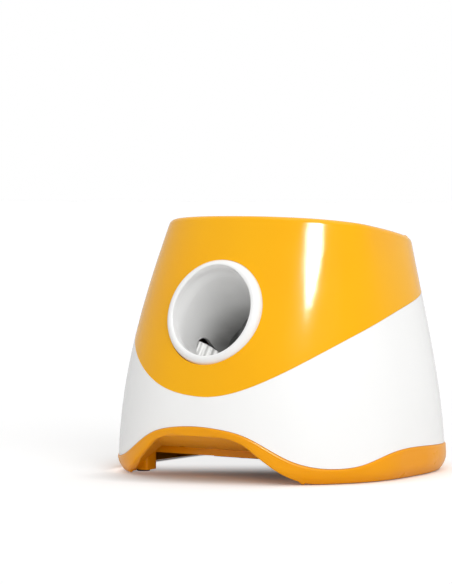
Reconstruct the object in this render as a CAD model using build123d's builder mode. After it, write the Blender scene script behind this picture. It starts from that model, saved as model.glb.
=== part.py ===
"""Automatic ball launcher for dogs, built as it comes apart on a bench.

Frame: millimetres, +Z up, the muzzle looks towards -Y. The origin is on the floor, under the middle
of the body. Balls fall into the hopper, wait on the gate, roll down the ramp between two ribbed wheels
and leave through the inclined launch tube.
"""

from build123d import *
import os
from math import copysign, cos, radians, sin, sqrt, tan

os.makedirs("parts", exist_ok=True)

# ---------------------------------------------------------------- body
body_height = 185.0  # height of the rim above the floor, at the shoulder
rim_slope = -0.134  # the rim falls towards the back
shoulder_y = -5.75  # where the front and the rear half of each section meet
front_roundness = 2.2  # exponent of the rounded outline in front of the shoulder
rear_roundness = 2.8  # and behind it
body_sections = (
    # share of the height, half width, reach to the front, reach to the rear
    (0.0, 117.7, 108.8, 119.5),
    (1 / 3, 113.7, 102.0, 114.8),
    (2 / 3, 102.3, 82.0, 109.9),
    (1.0, 85.7, 55.2, 111.9),
)
outline_points = 20
shell_wall = 2.8
rim_lip = 9.0  # width of the rim, from the outside to the hopper
rim_radius = 5.0
seam_gap = 0.25  # reveal between two shells
lap_height = 2.6  # tongue of one shell inside the next
lap_gap = 0.3  # play between a tongue and the wall in front of it
reach = 150.0  # half length of the cutting bodies

# line between the orange upper shell and the white lower shell, seen from the side: (y, z)
colour_line = ((-116, 51.5), (-91, 80), (-60, 100.9), (-20, 116.7), (29, 127.9), (130, 150))

# line between the lower shell and the base, seen from above: (degrees from the front, z)
wave_line = (
    (0, 40),
    (12, 38.4),
    (22, 33.8),
    (38, 17.7),
    (46, 12.9),
    (55, 11.3),
    (65, 13.2),
    (75, 18.6),
    (85, 21.9),
    (95, 22.4),
    (115, 20.8),
    (180, 20.8),
)
wave_inner_radius = 30.0
wave_outer_radius = 170.0
wave_reach = 60.0  # height of the blocks above and below that line
floor_gap = 0.3  # between the floor and the lower shell

# ---------------------------------------------------------------- base
skirt_clearance = 0.8  # the skirt ends just above the floor
skirt_tuck = 4.8  # how far the skirt is drawn in at its lower edge
skirt_tuck_height = 12.0
floor_underside = 20.5
floor_thickness = 2.5
skirt_rib = 2.0
skirt_rib_bottom = 14.0
skirt_ribs_y = (-62.0, -22.0, 30.0, 94.0)
arch_half_width = 80.0
arch_height = 36.0
scoop_front_y = -118.0
scoop_middle = (-98.0, 27.6)
scoop_rear_y = -76.0
foot_width = 16.0
foot_depth = 13.0
foot_corner = 2.0
foot_pad_height = 1.4
foot_pad_radius = 5.0
front_foot = (77.0, -69.0)
rear_foot = (67.0, 54.0)

# ---------------------------------------------------------------- mouth, launch tube and ball
ball_radius = 25.0
mouth_y = -88.3
mouth_z = 121.9
mouth_elevation = 17.8  # degrees that the bezel looks up
bezel_radius = 40.1
bezel_bore = 33.6
bezel_lip = 4.0
bezel_depth = 8.6  # from the mouth plane back to the flange
bezel_flange = 41.5
bezel_edge = 0.6
flange_thickness = 2.2
bezel_gap = 0.2

launch_elevation = 37.0
bore_radius = 32.0
tube_wall = 2.5
elbow_depth = 74.0  # along the launch axis, from the mouth to the elbow
ramp_slope = 20.0
drop_y = 2.0  # axis of the upright part, below the hopper
drop_top = 140.0
cover_height = 22.6  # the seam lies this far above the axis of the bore

# ---------------------------------------------------------------- launch wheels and motors
wheel_radius = 30.0
wheel_width = 14.0
nip_gap = 42.0  # between the wheels, for a ball that is squeezed a little
nip_depth = 61.0  # along the launch axis, from the mouth to the wheels
tyre_thickness = 4.0
rib_count = 36
rib_height = 1.4
hub_web = 2.4
hub_boss_radius = 5.0
spoke_count = 5
slot_length = 53.0
slot_height = 25.0
slot_corner = 12.0

motor_radius = 13.85
motor_length = 38.0
motor_boss_radius = 5.0
motor_boss_height = 1.6
motor_gap = 4.0  # between the wheel and the can
shaft_radius = 1.15
shaft_clearance = 0.05
shaft_depth = 12.0  # length of the shaft inside the motor
saddle_wall = 3.0
saddle_length = 22.0
saddle_web = 12.0
saddle_plate = 2.0
saddle_foot = (30.0, 26.0, 2.5)
saddle_y = -59.0  # middle of its foot
saddle_screw_spread = 11.0
motor_screw_spread = 8.0

# ---------------------------------------------------------------- gate
gate_y = 39.0
gate_z = 101.0
gate_length = 40.0
gate_width = 33.0
gate_thickness = 2.4
gate_barrel = 3.6
gate_pin = 2.0
pin_clearance = 0.05
gate_rest = 12.0  # degrees that the closed flap rises towards its tip
gate_slot_width = 35.0
gate_slot_low = 77.0
gate_slot_high = 106.0
cheek_thickness = 3.0
cheek_gap = 0.4
cheek_size = (17.5, 35.0)
servo_size = (23.0, 12.2, 23.0)
servo_ear = 6.0
servo_socket = 4.0
sensor_radius = 2.5
sensor_z = 127.0
sensor_reach = 38.0

# ---------------------------------------------------------------- hopper
bowl_wall = 2.0
bowl_gap = 0.3
bowl_waist_share = 0.86
bowl_waist_inset = 25.0
spigot_wall = 1.5
spigot_length = 8.0
spigot_gap = 0.3
throat_step = 1.0
bowl_flange_inset = 5.2
bowl_flange_thickness = 2.0

# ---------------------------------------------------------------- battery bay
cell_radius = 13.0
cell_length = 49.0
cell_rows = 3
cell_pitch = 26.4
contact_room = 3.0
bay_wall = 2.4
bay_front_y = -5.0
bay_underside = 7.0
door_thickness = 2.0
door_ledge = 1.2
cell_gap = 0.3
door_gap = 0.3
door_tab_radius = 4.5
door_tab_reach = 7.5  # from the bay to the screw

# ---------------------------------------------------------------- controls on the back
panel_width = 76.0
panel_height = 28.0
panel_corner = 6.0
panel_thickness = 2.0
panel_y = 100.8  # floor of its recess
panel_z = 96.0
panel_lean = 4.5  # degrees
panel_backing = 2.2  # wall behind the recess
panel_gap = 0.3
button_radius = 6.0
button_spread = 24.0
button_proud = 1.6
button_travel = 1.2
button_gap = 0.3
light_radius = 1.75
button_flange = 7.5
button_stem = 2.0
light_pitch = 6.0
board_size = (78.0, 40.0)
board_thickness = 1.6
board_depth = 12.0  # behind the floor of the recess
switch_size = (6.2, 6.2, 3.4)
switch_plunger = 1.6
buzzer_radius = 6.0
buzzer_height = 6.0
socket_x = -46.0
socket_y = 104.8  # floor of its recess
socket_z = 50.0
socket_radius = 5.0
socket_flange = 6.7
socket_flange_thickness = 1.5
socket_backing = 3.0
socket_length = 14.0

# ---------------------------------------------------------------- fastening
boss_radius = 4.0
screw_radius = 1.45  # also the radius of its pilot hole
screw_clearance = 0.15
screw_head = 2.9
screw_head_height = 1.8
post_split_z = 62.0
front_post = (92.0, -28.0)
rear_post = (79.0, 58.0)
post_screw_length = 14.0
post_web = 6.0  # floor of the deep recess in each lower boss
recess_radius = 3.2
boss_rib = 2.0
boss_rib_length = 26.0
boss_rib_bottom = 26.5  # above the tongue of the base
base_boss_side = (105.0, 8.0)
base_boss_rear = (45.0, 100.0)
base_boss_height = 14.0
leg_x = 20.0
front_leg_y = -38.0
rear_leg_y = 18.0
leg_radius = 4.5
leg_reach = 66.0
ear_radius = 4.0
ear_height = 7.0
launch_ear = (30.0, 22.0)  # across, and along the launch axis from the mouth
ramp_ear = (38.0, 33.0)  # across, and along the ramp from the elbow
short_screw = 9.0
floor_screw = 5.0
drive_width = 0.8
drive_length = 3.4
drive_depth = 0.8


# ================================================================ helpers
def outline(half_width, front, rear, stretch=1.0, front_power=front_roundness, rear_power=rear_roundness):
    """Points of a rounded outline: an ellipse with its exponent changed, fuller than an ellipse."""
    points = []
    for step in range(outline_points):
        angle = radians(360 * step / outline_points)
        side, ahead = sin(angle), cos(angle)
        length, power = (front, front_power) if ahead > 0 else (rear, rear_power)
        x = half_width * copysign(abs(side) ** (2 / power), side)
        y = -length * copysign(abs(ahead) ** (2 / power), ahead)
        points.append((x, y * stretch))
    return points


def curve_knots():
    """Knot values for the closed outlines: the shares of the way round the lowest section."""
    points = outline(*body_sections[0][1:])
    points.append(points[0])
    lengths = [0.0]
    for (x0, y0), (x1, y1) in zip(points[:-1], points[1:]):
        lengths.append(lengths[-1] + sqrt((x1 - x0) ** 2 + (y1 - y0) ** 2))
    return [length / lengths[-1] for length in lengths]


shared_knots = curve_knots()


def closed_curve(points):
    """A smooth closed curve; the outlines share their knots, so that lofted surfaces stay simple."""
    return Edge.make_spline([Vector(x, y, 0) for x, y in points], periodic=True, parameters=shared_knots)


def section_plane(share):
    """The plane of a body section: level at the floor, and as steep as the rim at the top."""
    slope = rim_slope * share
    return Plane(origin=(0, shoulder_y, body_height * share), x_dir=(1, 0, 0), z_dir=(0, -slope, 1))


def body_form(inset):
    """The solid shape of the whole body, drawn in on all sides by inset."""
    with BuildPart() as form:
        for share, half_width, front, rear in body_sections:
            with BuildSketch(section_plane(share)):
                with BuildLine():
                    stretch = sqrt(1 + (rim_slope * share) ** 2)
                    add(closed_curve(outline(half_width - inset, front - inset, rear - inset, stretch)))
                make_face()
        loft()
    return form.part


def above_colour_line(rise):
    """Everything above the colour line, raised by rise."""
    with BuildPart() as cutter:
        with BuildSketch(Plane.YZ):
            with BuildLine():
                line = Spline([(y, z + rise) for y, z in colour_line])
                Polyline(line @ 1, (reach, body_height + reach), (-reach, body_height + reach), line @ 0)
            make_face()
        extrude(amount=reach, both=True)
    return cutter.part


def lap_rebate(form, cutter):
    """The part of a cutting body that lies inside form: it clears the inner half of a shell's wall."""
    with BuildPart() as rebate:
        add(cutter)
        add(form, mode=Mode.INTERSECT)
    return rebate.part


def outer_rebate(cutter):
    """The part of a cutting body outside the tongues: it leaves a tongue on the inner half of a wall."""
    with BuildPart() as rebate:
        add(cutter)
        add(tongue_form, mode=Mode.SUBTRACT)
    return rebate.part


def below_colour_line(rise):
    """Everything below the colour line, raised by rise."""
    with BuildPart() as cutter:
        with BuildSketch(Plane.YZ):
            with BuildLine():
                line = Spline([(y, z + rise) for y, z in colour_line])
                Polyline(line @ 1, (reach, -reach), (-reach, -reach), line @ 0)
            make_face()
        extrude(amount=reach, both=True)
    return cutter.part


def wave_block(rise, upwards):
    """The block above or below the wavy line round the base, which is raised by rise."""
    far_side = tuple((360 - angle, z) for angle, z in reversed(wave_line[1:-1]))
    shares = [angle / 360 for angle, z in wave_line + far_side] + [1.0]
    rings = []
    for radius in (wave_outer_radius, wave_inner_radius):
        points = []
        for angle, z in wave_line + far_side:
            turn = radians(angle)
            points.append(Vector(radius * sin(turn), shoulder_y - radius * cos(turn), z + rise))
        rings.append(Edge.make_spline(points, periodic=True, parameters=shares))
    surface = Face.make_surface_from_curves(*rings)
    with BuildPart() as cutter:
        extrude(to_extrude=surface, amount=wave_reach, dir=(0, 0, 1 if upwards else -1))
    return cutter.part


def mirrored(point):
    """The point and its mirror image across the middle plane."""
    return (point, (-point[0],) + tuple(point[1:]))


def plane_along(origin, direction):
    """A plane at origin that looks along direction, with its X along the body's X."""
    return Plane(origin=origin, x_dir=(1, 0, 0), z_dir=direction)


def turn(plane, profile):
    """A turned solid: the closed profile of (radius, height) points goes round the axis of plane."""
    with BuildPart() as turned:
        with BuildSketch(Plane(origin=plane.origin, x_dir=plane.x_dir, z_dir=plane.x_dir.cross(plane.z_dir))):
            with BuildLine():
                Polyline(*profile, close=True)
            make_face()
        revolve(axis=Axis(plane.origin, plane.z_dir))
    return turned.part


def looking_up(height):
    """A level plane that faces down, for everything that is put in from below."""
    return Plane(origin=(0, 0, height), x_dir=(-1, 0, 0), z_dir=(0, 0, -1))


def screws(plane, places, length, head_height=screw_head_height):
    """Cross-head screws: their heads stand on the plane and their shanks go into it."""
    with BuildPart() as group:
        with BuildSketch(plane):
            with Locations(*places):
                Circle(screw_radius)
        extrude(amount=-length)
        with BuildSketch(plane):
            with Locations(*places):
                Circle(screw_head)
        extrude(amount=head_height)
        with BuildSketch(plane.offset(head_height)):
            with Locations(*places):
                Rectangle(drive_length, drive_width)
                Rectangle(drive_width, drive_length)
        extrude(amount=-drive_depth, mode=Mode.SUBTRACT)
    return group.part


def holes(plane, places, radius, depth):
    """Round holes of one depth, to be taken out of a piece."""
    with BuildPart() as group:
        with BuildSketch(plane):
            with Locations(*places):
                Circle(radius)
        extrude(amount=-depth)
    return group.part


def finish(builder, name):
    """Label the piece and write its STEP file."""
    builder.part.label = name
    export_step(builder.part, f"parts/{name}.step")


# ================================================================ shared forms
outer_form = body_form(0)
middle_form = body_form(shell_wall / 2)
tongue_form = body_form(shell_wall / 2 + lap_gap)
core_form = body_form(shell_wall)

rim_plane = section_plane(1.0)
mouth_plane = plane_along(
    (0, mouth_y, mouth_z), (0, -cos(radians(mouth_elevation)), sin(radians(mouth_elevation)))
)
launch_plane = plane_along(
    (0, mouth_y, mouth_z), (0, -cos(radians(launch_elevation)), sin(radians(launch_elevation)))
)
elbow = launch_plane.from_local_coords((0, 0, -elbow_depth))
ramp_plane = plane_along(elbow, (0, cos(radians(ramp_slope)), sin(radians(ramp_slope))))
# the two bores meet on the plane that halves the angle between them
mitre_normal = ramp_plane.z_dir - launch_plane.z_dir
mitre_plane = plane_along(elbow, (0, mitre_normal.Y, mitre_normal.Z))

nip = launch_plane.from_local_coords((0, ball_radius - bore_radius, -nip_depth))
wheel_offset = nip_gap / 2 + wheel_radius
wheel_axis = launch_plane.y_dir


def wheel_plane(side):
    """The middle plane of a wheel; side is -1 for the left wheel and 1 for the right one."""
    return plane_along(nip + Vector(side * wheel_offset, 0, 0), wheel_axis)


# ================================================================ upper shell
rim_outline = body_sections[-1][1:]
floor_top = floor_underside + floor_thickness
post_places = mirrored(front_post) + mirrored(rear_post)
base_boss_places = mirrored(base_boss_side) + mirrored(base_boss_rear)

# the controls on the back have planes of their own, seen from behind
panel_plane = Plane(
    origin=(0, panel_y, panel_z), x_dir=(-1, 0, 0), z_dir=(0, cos(radians(panel_lean)), sin(radians(panel_lean)))
)
board_plane = panel_plane.offset(-board_depth)
socket_plane = Plane(origin=(socket_x, socket_y, socket_z), x_dir=(-1, 0, 0), z_dir=(0, 1, 0))
board_places = tuple(
    (across * (board_size[0] / 2 - boss_radius), up * (board_size[1] / 2 - boss_radius))
    for across in (-1, 1)
    for up in (-1, 1)
)
button_places = mirrored((button_spread, 0))
light_places = ((-light_pitch, 0), (0, 0), (light_pitch, 0))

with BuildPart() as cavity:
    add(core_form)
    split(bisect_by=rim_plane.offset(-shell_wall), keep=Keep.BOTTOM)

with BuildPart() as posts:
    with BuildSketch(Plane.XY.offset(post_split_z)):
        with Locations(*post_places):
            Circle(boss_radius)
            Circle(screw_radius, mode=Mode.SUBTRACT)
    extrude(amount=body_height)
    add(middle_form, mode=Mode.INTERSECT)

with BuildPart() as upper_shell:
    add(outer_form)
    fillet(upper_shell.faces().sort_by(Axis.Z)[-1].edges(), radius=rim_radius)
    add(above_colour_line(0), mode=Mode.INTERSECT)
    add(cavity.part, mode=Mode.SUBTRACT)
    with BuildSketch(rim_plane.offset(1)):
        with BuildLine():
            add(closed_curve(outline(*(size - rim_lip for size in rim_outline))))
        make_face()
    extrude(amount=-shell_wall - 2, mode=Mode.SUBTRACT)
    add(lap_rebate(middle_form, below_colour_line(lap_height)), mode=Mode.SUBTRACT)
    with BuildSketch(mouth_plane.offset(bezel_depth)):
        Circle(bezel_radius + bezel_gap)
    extrude(amount=-3 * bezel_depth, mode=Mode.SUBTRACT)
    add(posts.part)
finish(upper_shell, "upper_shell")

# ================================================================ lower shell
with BuildPart() as lower_bosses:
    for places, height in ((post_places, post_split_z - floor_top), (base_boss_places, base_boss_height)):
        with BuildSketch(Plane.XY.offset(floor_top)):
            with Locations(*places):
                Circle(boss_radius)
        extrude(amount=height)
    # each boss is tied to the nearest wall by a rib
    with BuildSketch(Plane.XY.offset(boss_rib_bottom)):
        for x, y in post_places + mirrored(base_boss_side):
            with Locations((x + copysign(boss_rib_length / 2, x), y)):
                Rectangle(boss_rib_length, boss_rib)
        for x, y in mirrored(base_boss_rear):
            with Locations((x, y + boss_rib_length / 2)):
                Rectangle(boss_rib, boss_rib_length)
    extrude(amount=floor_top + base_boss_height - boss_rib_bottom)
    with BuildSketch(Plane.XY.offset(floor_top + base_boss_height)):
        for x, y in post_places:
            with Locations((x + copysign(boss_rib_length / 2, x), y)):
                Rectangle(boss_rib_length, boss_rib)
    extrude(amount=post_split_z - floor_top - base_boss_height)
    entry = looking_up(floor_top)
    add(holes(entry, post_places, recess_radius, post_split_z - floor_top - post_web), mode=Mode.SUBTRACT)
    add(holes(entry, post_places, screw_radius + screw_clearance, reach), mode=Mode.SUBTRACT)
    add(holes(entry, base_boss_places, screw_radius, short_screw), mode=Mode.SUBTRACT)
    add(middle_form, mode=Mode.INTERSECT)

with BuildPart() as control_bosses:
    # a flat backing for the control panel, bosses for the board, and a seat for the socket
    with BuildSketch(panel_plane.offset(-panel_backing)):
        RectangleRounded(panel_width + 4, panel_height + 4, panel_corner)
    extrude(amount=reach)
    with BuildSketch(board_plane):
        with Locations(*board_places):
            Circle(boss_radius)
    extrude(amount=reach)
    add(holes(board_plane.offset(short_screw), board_places, screw_radius, short_screw), mode=Mode.SUBTRACT)
    with BuildSketch(socket_plane.offset(-socket_backing)):
        Circle(socket_flange + 2)
    extrude(amount=reach)
    add(middle_form, mode=Mode.INTERSECT)

with BuildPart() as control_recesses:
    with BuildSketch(panel_plane):
        RectangleRounded(*(size + 2 * panel_gap for size in (panel_width, panel_height)), panel_corner + panel_gap)
    extrude(amount=reach)
    with BuildSketch(panel_plane.offset(-panel_backing)):
        with Locations(*button_places):
            Circle(button_radius + button_gap)
        with Locations(*light_places):
            Circle(light_radius + pin_clearance)
    extrude(amount=panel_backing)
    with BuildSketch(socket_plane):
        Circle(socket_flange + panel_gap)
    extrude(amount=reach)
    with BuildSketch(socket_plane.offset(-socket_backing)):
        Circle(socket_radius + panel_gap)
    extrude(amount=socket_backing)

with BuildPart() as base_lap:
    # the tongue of the base, and its floor where that stands above the wavy line
    add(wave_block(lap_height + seam_gap, False))
    with BuildSketch(Plane.XY.offset(floor_top + floor_gap)):
        Rectangle(2 * reach, 2 * reach)
    extrude(amount=-2 * floor_top)

with BuildPart() as lower_shell:
    add(outer_form)
    add(core_form, mode=Mode.SUBTRACT)
    add(below_colour_line(lap_height - seam_gap), mode=Mode.INTERSECT)
    add(outer_rebate(above_colour_line(-seam_gap)), mode=Mode.SUBTRACT)
    add(wave_block(seam_gap, False), mode=Mode.SUBTRACT)
    add(lap_rebate(middle_form, base_lap.part), mode=Mode.SUBTRACT)
    add(lower_bosses.part)
    add(control_bosses.part)
    add(control_recesses.part, mode=Mode.SUBTRACT)
finish(lower_shell, "lower_shell")

# ================================================================ base tray
base_outline = body_sections[0][1:]
cell_floor = bay_underside + door_thickness + cell_gap
bay_half_width = cell_length + contact_room
bay_length = cell_rows * cell_pitch
bay_middle_y = bay_front_y + bay_length / 2
bay_roof = cell_floor + 2 * cell_radius + cell_gap
foot_places = mirrored(front_foot) + mirrored(rear_foot)
front_leg_places = mirrored((leg_x, front_leg_y))
rear_leg_places = mirrored((leg_x, rear_leg_y))
door_places = ((0, bay_front_y - door_tab_reach), (0, bay_front_y + bay_length + door_tab_reach))
saddle_places = tuple(
    (side * wheel_offset + across, saddle_y)
    for side in (-1, 1)
    for across in (-saddle_screw_spread, saddle_screw_spread)
)


def scoop(rise):
    """The space under the front arch: a vault whose roof comes down towards the back."""
    with BuildPart() as vault:
        with BuildSketch(Plane.XZ.offset(-scoop_rear_y)):
            with BuildLine():
                side = arch_half_width + rise
                crown = ThreePointArc((-side, -1), (0, arch_height + rise), (side, -1))
                Line(crown @ 1, crown @ 0)
            make_face()
        extrude(amount=scoop_rear_y - scoop_front_y)
    with BuildPart() as roof:
        with BuildSketch(Plane.YZ):
            with BuildLine():
                ceiling = ThreePointArc(
                    (scoop_front_y, arch_height + rise),
                    (scoop_middle[0], scoop_middle[1] + rise),
                    (scoop_rear_y, floor_underside + rise),
                )
                Polyline(ceiling @ 1, (scoop_rear_y, -1), (scoop_front_y, -1), ceiling @ 0)
            make_face()
        extrude(amount=reach, both=True)
        add(vault.part, mode=Mode.INTERSECT)
    return roof.part


def door_shape(grow):
    """The battery door as a flat block, with a tab for each screw; grow makes it larger all round."""
    with BuildPart() as block:
        with BuildSketch(Plane.XY.offset(bay_underside)):
            with Locations((0, bay_middle_y)):
                side = 2 * (bay_half_width + door_ledge - door_gap + grow)
                Rectangle(side, bay_length + 2 * (door_ledge - door_gap + grow))
                Rectangle(2 * (door_tab_radius + grow), bay_length + 2 * door_tab_reach)
            with Locations(*door_places):
                Circle(door_tab_radius + grow)
        extrude(amount=door_thickness)
    return block.part


def tuck_block(wall, bottom_z):
    """A block that flares upwards: the skirt is drawn in towards the floor inside it, less a wall."""
    with BuildPart() as block:
        for z in (bottom_z, wave_reach):
            with BuildSketch(Plane((0, shoulder_y, z))):
                with BuildLine():
                    inset = wall + skirt_tuck * (1 - (z - skirt_clearance) / skirt_tuck_height)
                    add(closed_curve(outline(*(size - inset for size in base_outline))))
                make_face()
        loft(ruled=True)
    return block.part


with BuildPart() as over_base:
    # what the lower shell takes: all above the wavy line, outside the tongue
    add(wave_block(0, True))
    add(tongue_form, mode=Mode.SUBTRACT)

with BuildPart() as over_tongue:
    with BuildSketch(Plane.XY.offset(floor_top)):
        Rectangle(2 * reach, 2 * reach)
    extrude(amount=wave_reach)
    add(wave_block(lap_height, False), mode=Mode.SUBTRACT)

with BuildPart() as room_above_floor:
    add(core_form)
    with BuildSketch(Plane.XY.offset(floor_top)):
        Rectangle(2 * reach, 2 * reach)
    extrude(amount=wave_reach, mode=Mode.INTERSECT)
    add(scoop(floor_thickness), mode=Mode.SUBTRACT)
    with BuildSketch(Plane.XY):
        with Locations((0, bay_middle_y)):
            Rectangle(2 * (bay_half_width + bay_wall), bay_length + 2 * bay_wall)
    extrude(amount=bay_roof + bay_wall, mode=Mode.SUBTRACT)

with BuildPart() as room_under_floor:
    add(core_form)
    with BuildSketch(Plane.XY):
        Rectangle(2 * reach, 2 * reach)
    extrude(amount=floor_underside, mode=Mode.INTERSECT)
    add(tuck_block(shell_wall, -skirt_clearance), mode=Mode.INTERSECT)
    add(scoop(floor_thickness), mode=Mode.SUBTRACT)
    # ribs under the floor carry the skirt
    with BuildSketch(Plane.XY.offset(skirt_rib_bottom)):
        with Locations(*((0, y) for y in skirt_ribs_y)):
            Rectangle(2 * reach, skirt_rib)
    extrude(amount=floor_underside, mode=Mode.SUBTRACT)
    with BuildSketch(Plane.XY.offset(bay_underside)):
        with Locations((0, bay_middle_y)):
            Rectangle(2 * (bay_half_width + bay_wall), bay_length + 2 * bay_wall)
    extrude(amount=floor_underside, mode=Mode.SUBTRACT)
    with BuildSketch(Plane.XY.offset(bay_underside + door_thickness)):
        with Locations(*door_places):
            Circle(boss_radius)
    extrude(amount=floor_underside, mode=Mode.SUBTRACT)
    with BuildSketch(Plane.XY.offset(foot_pad_height)):
        with Locations(*foot_places):
            RectangleRounded(foot_width, foot_depth, foot_corner)
    extrude(amount=floor_underside, mode=Mode.SUBTRACT)

with BuildPart() as base_tray:
    add(outer_form)
    split(bisect_by=Plane.XY.offset(wave_reach - 10), keep=Keep.BOTTOM)
    add(over_base.part, mode=Mode.SUBTRACT)
    add(over_tongue.part, mode=Mode.SUBTRACT)
    add(room_above_floor.part, mode=Mode.SUBTRACT)
    add(room_under_floor.part, mode=Mode.SUBTRACT)
    add(scoop(0), mode=Mode.SUBTRACT)
    add(tuck_block(0, skirt_clearance), mode=Mode.INTERSECT)
    # the battery bay is open below, with a recess for its door
    with BuildSketch(Plane.XY.offset(bay_underside)):
        with Locations((0, bay_middle_y)):
            Rectangle(2 * bay_half_width, bay_length)
    extrude(amount=bay_roof - bay_underside, mode=Mode.SUBTRACT)
    add(door_shape(door_gap), mode=Mode.SUBTRACT)
    # screw holes
    entry = looking_up(floor_underside)
    passing = base_boss_places + front_leg_places
    add(holes(entry, passing, screw_radius + screw_clearance, floor_thickness), mode=Mode.SUBTRACT)
    add(holes(looking_up(skirt_clearance), post_places, recess_radius, floor_top), mode=Mode.SUBTRACT)
    add(holes(entry, saddle_places, screw_radius, floor_thickness), mode=Mode.SUBTRACT)
    door_seat = looking_up(bay_underside + door_thickness)
    add(holes(door_seat, door_places, screw_radius, short_screw), mode=Mode.SUBTRACT)
finish(base_tray, "base_tray")

# ================================================================ muzzle and ball guide
corner = Vector(0, drop_y, elbow.Z + (drop_y - elbow.Y) * tan(radians(ramp_slope)))
corner_plane = plane_along(corner, ramp_plane.z_dir + Vector(0, 0, 1))
bezel_back = bezel_depth + flange_thickness
ramp_up = -ramp_plane.y_dir
launch_seam = plane_along(launch_plane.from_local_coords((0, cover_height, 0)), launch_plane.y_dir)
ramp_seam = plane_along(elbow + ramp_up * cover_height, ramp_up)
cheek_outer = gate_width / 2 + cheek_gap + cheek_thickness
servo_centre_z = gate_z - 5.5
servo_screw_places = tuple((gate_y, servo_centre_z + up * (servo_size[2] + servo_ear) / 2) for up in (-1, 1))
ear_face = Plane.YZ.offset(cheek_outer + gate_thickness)


def way_piece(start_plane, length, radius, front_plane, rear_plane):
    """One straight piece of the way, cut to its mitres."""
    with BuildPart() as piece:
        with BuildSketch(start_plane):
            Circle(radius)
        extrude(amount=length)
        if front_plane:
            split(bisect_by=front_plane, keep=Keep.TOP)
        if rear_plane:
            split(bisect_by=rear_plane, keep=Keep.BOTTOM)
    return piece.part


def ball_way(radius):
    """The way of the balls as one solid with mitred bends: the launch tube, the ramp and the drop."""
    with BuildPart() as way:
        add(way_piece(launch_plane.offset(20), -elbow_depth - reach, radius, None, mitre_plane))
        add(way_piece(ramp_plane.offset(-reach), 2 * reach, radius, mitre_plane, corner_plane))
        add(way_piece(Plane((0, drop_y, drop_top)), -reach, radius, corner_plane, None))
    return way.part


bore = ball_way(bore_radius)

with BuildPart() as muzzle_bezel:
    bezel_profile = (
        (bezel_bore, -bezel_back),
        (bezel_bore, bezel_lip - 1),
        (bezel_bore + 0.3, bezel_lip - 0.3),
        (bezel_bore + 1, bezel_lip),
        (bezel_radius, bezel_edge),
        (bezel_radius, -bezel_depth),
        (bezel_flange, -bezel_depth),
        (bezel_flange, -bezel_back),
    )
    add(turn(mouth_plane, bezel_profile))
    add(bore, mode=Mode.SUBTRACT)
finish(muzzle_bezel, "muzzle_bezel")

with BuildPart() as above_seam:
    seam_corner = launch_seam.from_local_coords((0, 0, 0)) + launch_seam.y_dir * (
        (ramp_seam.origin - launch_seam.origin).dot(ramp_up) / launch_seam.y_dir.dot(ramp_up)
    )
    front_end = seam_corner - launch_seam.y_dir * reach
    rear_end = seam_corner + ramp_seam.y_dir * reach
    with BuildSketch(Plane.YZ):
        with BuildLine():
            Polyline(
                (front_end.Y, front_end.Z),
                (seam_corner.Y, seam_corner.Z),
                (rear_end.Y, rear_end.Z),
                (rear_end.Y, 2 * reach),
                (front_end.Y, 2 * reach),
                close=True,
            )
        make_face()
    extrude(amount=reach, both=True)

with BuildPart() as guide:
    add(ball_way(bore_radius + tube_wall))
    with BuildSketch(mouth_plane.offset(-bezel_back)):
        Circle(bezel_flange)
    extrude(amount=-flange_thickness)
    split(bisect_by=mouth_plane.offset(-bezel_back), keep=Keep.BOTTOM)
    # ears of the seam, and the seats of the two ball sensors
    for plane, (across, along) in ((launch_seam, launch_ear), (ramp_seam, ramp_ear)):
        with BuildSketch(plane.offset(-ear_height)):
            with Locations(*mirrored((across, along))):
                Circle(ear_radius)
            with Locations(*mirrored((across - ear_radius, along))):
                Rectangle(2 * ear_radius, 2 * ear_radius)
        extrude(amount=ear_height + tube_wall)
    with BuildSketch(Plane.YZ.offset(-sensor_reach)):
        with Locations((drop_y, sensor_z)):
            Circle(boss_radius)
    extrude(amount=2 * sensor_reach)
    # legs
    with BuildSketch(Plane.XY.offset(floor_top)):
        with Locations(*front_leg_places):
            Circle(leg_radius)
    extrude(amount=leg_reach - floor_top)
    with BuildSketch(Plane.XY.offset(bay_roof + bay_wall)):
        with Locations(*rear_leg_places):
            Circle(leg_radius)
    extrude(amount=leg_reach - bay_roof - bay_wall)
    # the slot of the gate and the cheeks that hold its pins
    with BuildSketch(Plane.XY.offset(gate_slot_low)):
        with Locations((0, gate_y)):
            Rectangle(gate_slot_width, 2 * (gate_y - drop_y - bore_radius / 2))
    extrude(amount=gate_slot_high - gate_slot_low, mode=Mode.SUBTRACT)
    with BuildSketch(Plane.XY.offset(servo_centre_z - cheek_size[1] / 2)):
        with Locations(*mirrored((gate_width / 2 + cheek_gap + cheek_thickness / 2, gate_y - 1.75))):
            Rectangle(cheek_thickness, cheek_size[0])
    extrude(amount=cheek_size[1])
    add(bore, mode=Mode.SUBTRACT)
    with BuildSketch(Plane.YZ.offset(-reach)):
        with Locations((gate_y, gate_z)):
            Circle(gate_pin + pin_clearance)
        with Locations((drop_y, sensor_z)):
            Circle(sensor_radius + pin_clearance)
    extrude(amount=2 * reach, mode=Mode.SUBTRACT)
    cheek_depth = gate_thickness + cheek_thickness
    add(holes(ear_face, servo_screw_places, screw_radius, cheek_depth), mode=Mode.SUBTRACT)
    # openings for the launch wheels
    with BuildSketch(Plane(origin=nip, x_dir=launch_plane.z_dir, z_dir=(1, 0, 0))):
        RectangleRounded(slot_length, slot_height, slot_corner)
    extrude(amount=wheel_offset, both=True, mode=Mode.SUBTRACT)

tube_screw_planes = (
    (launch_seam, mirrored(launch_ear)),
    (ramp_seam, mirrored(ramp_ear)),
)

with BuildPart() as guide_trough:
    add(guide.part)
    add(above_seam.part, mode=Mode.SUBTRACT)
    for plane, places in tube_screw_planes:
        add(holes(plane, places, screw_radius, short_screw - tube_wall), mode=Mode.SUBTRACT)
    add(holes(looking_up(floor_top), front_leg_places, screw_radius, short_screw), mode=Mode.SUBTRACT)
finish(guide_trough, "guide_trough")

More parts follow.
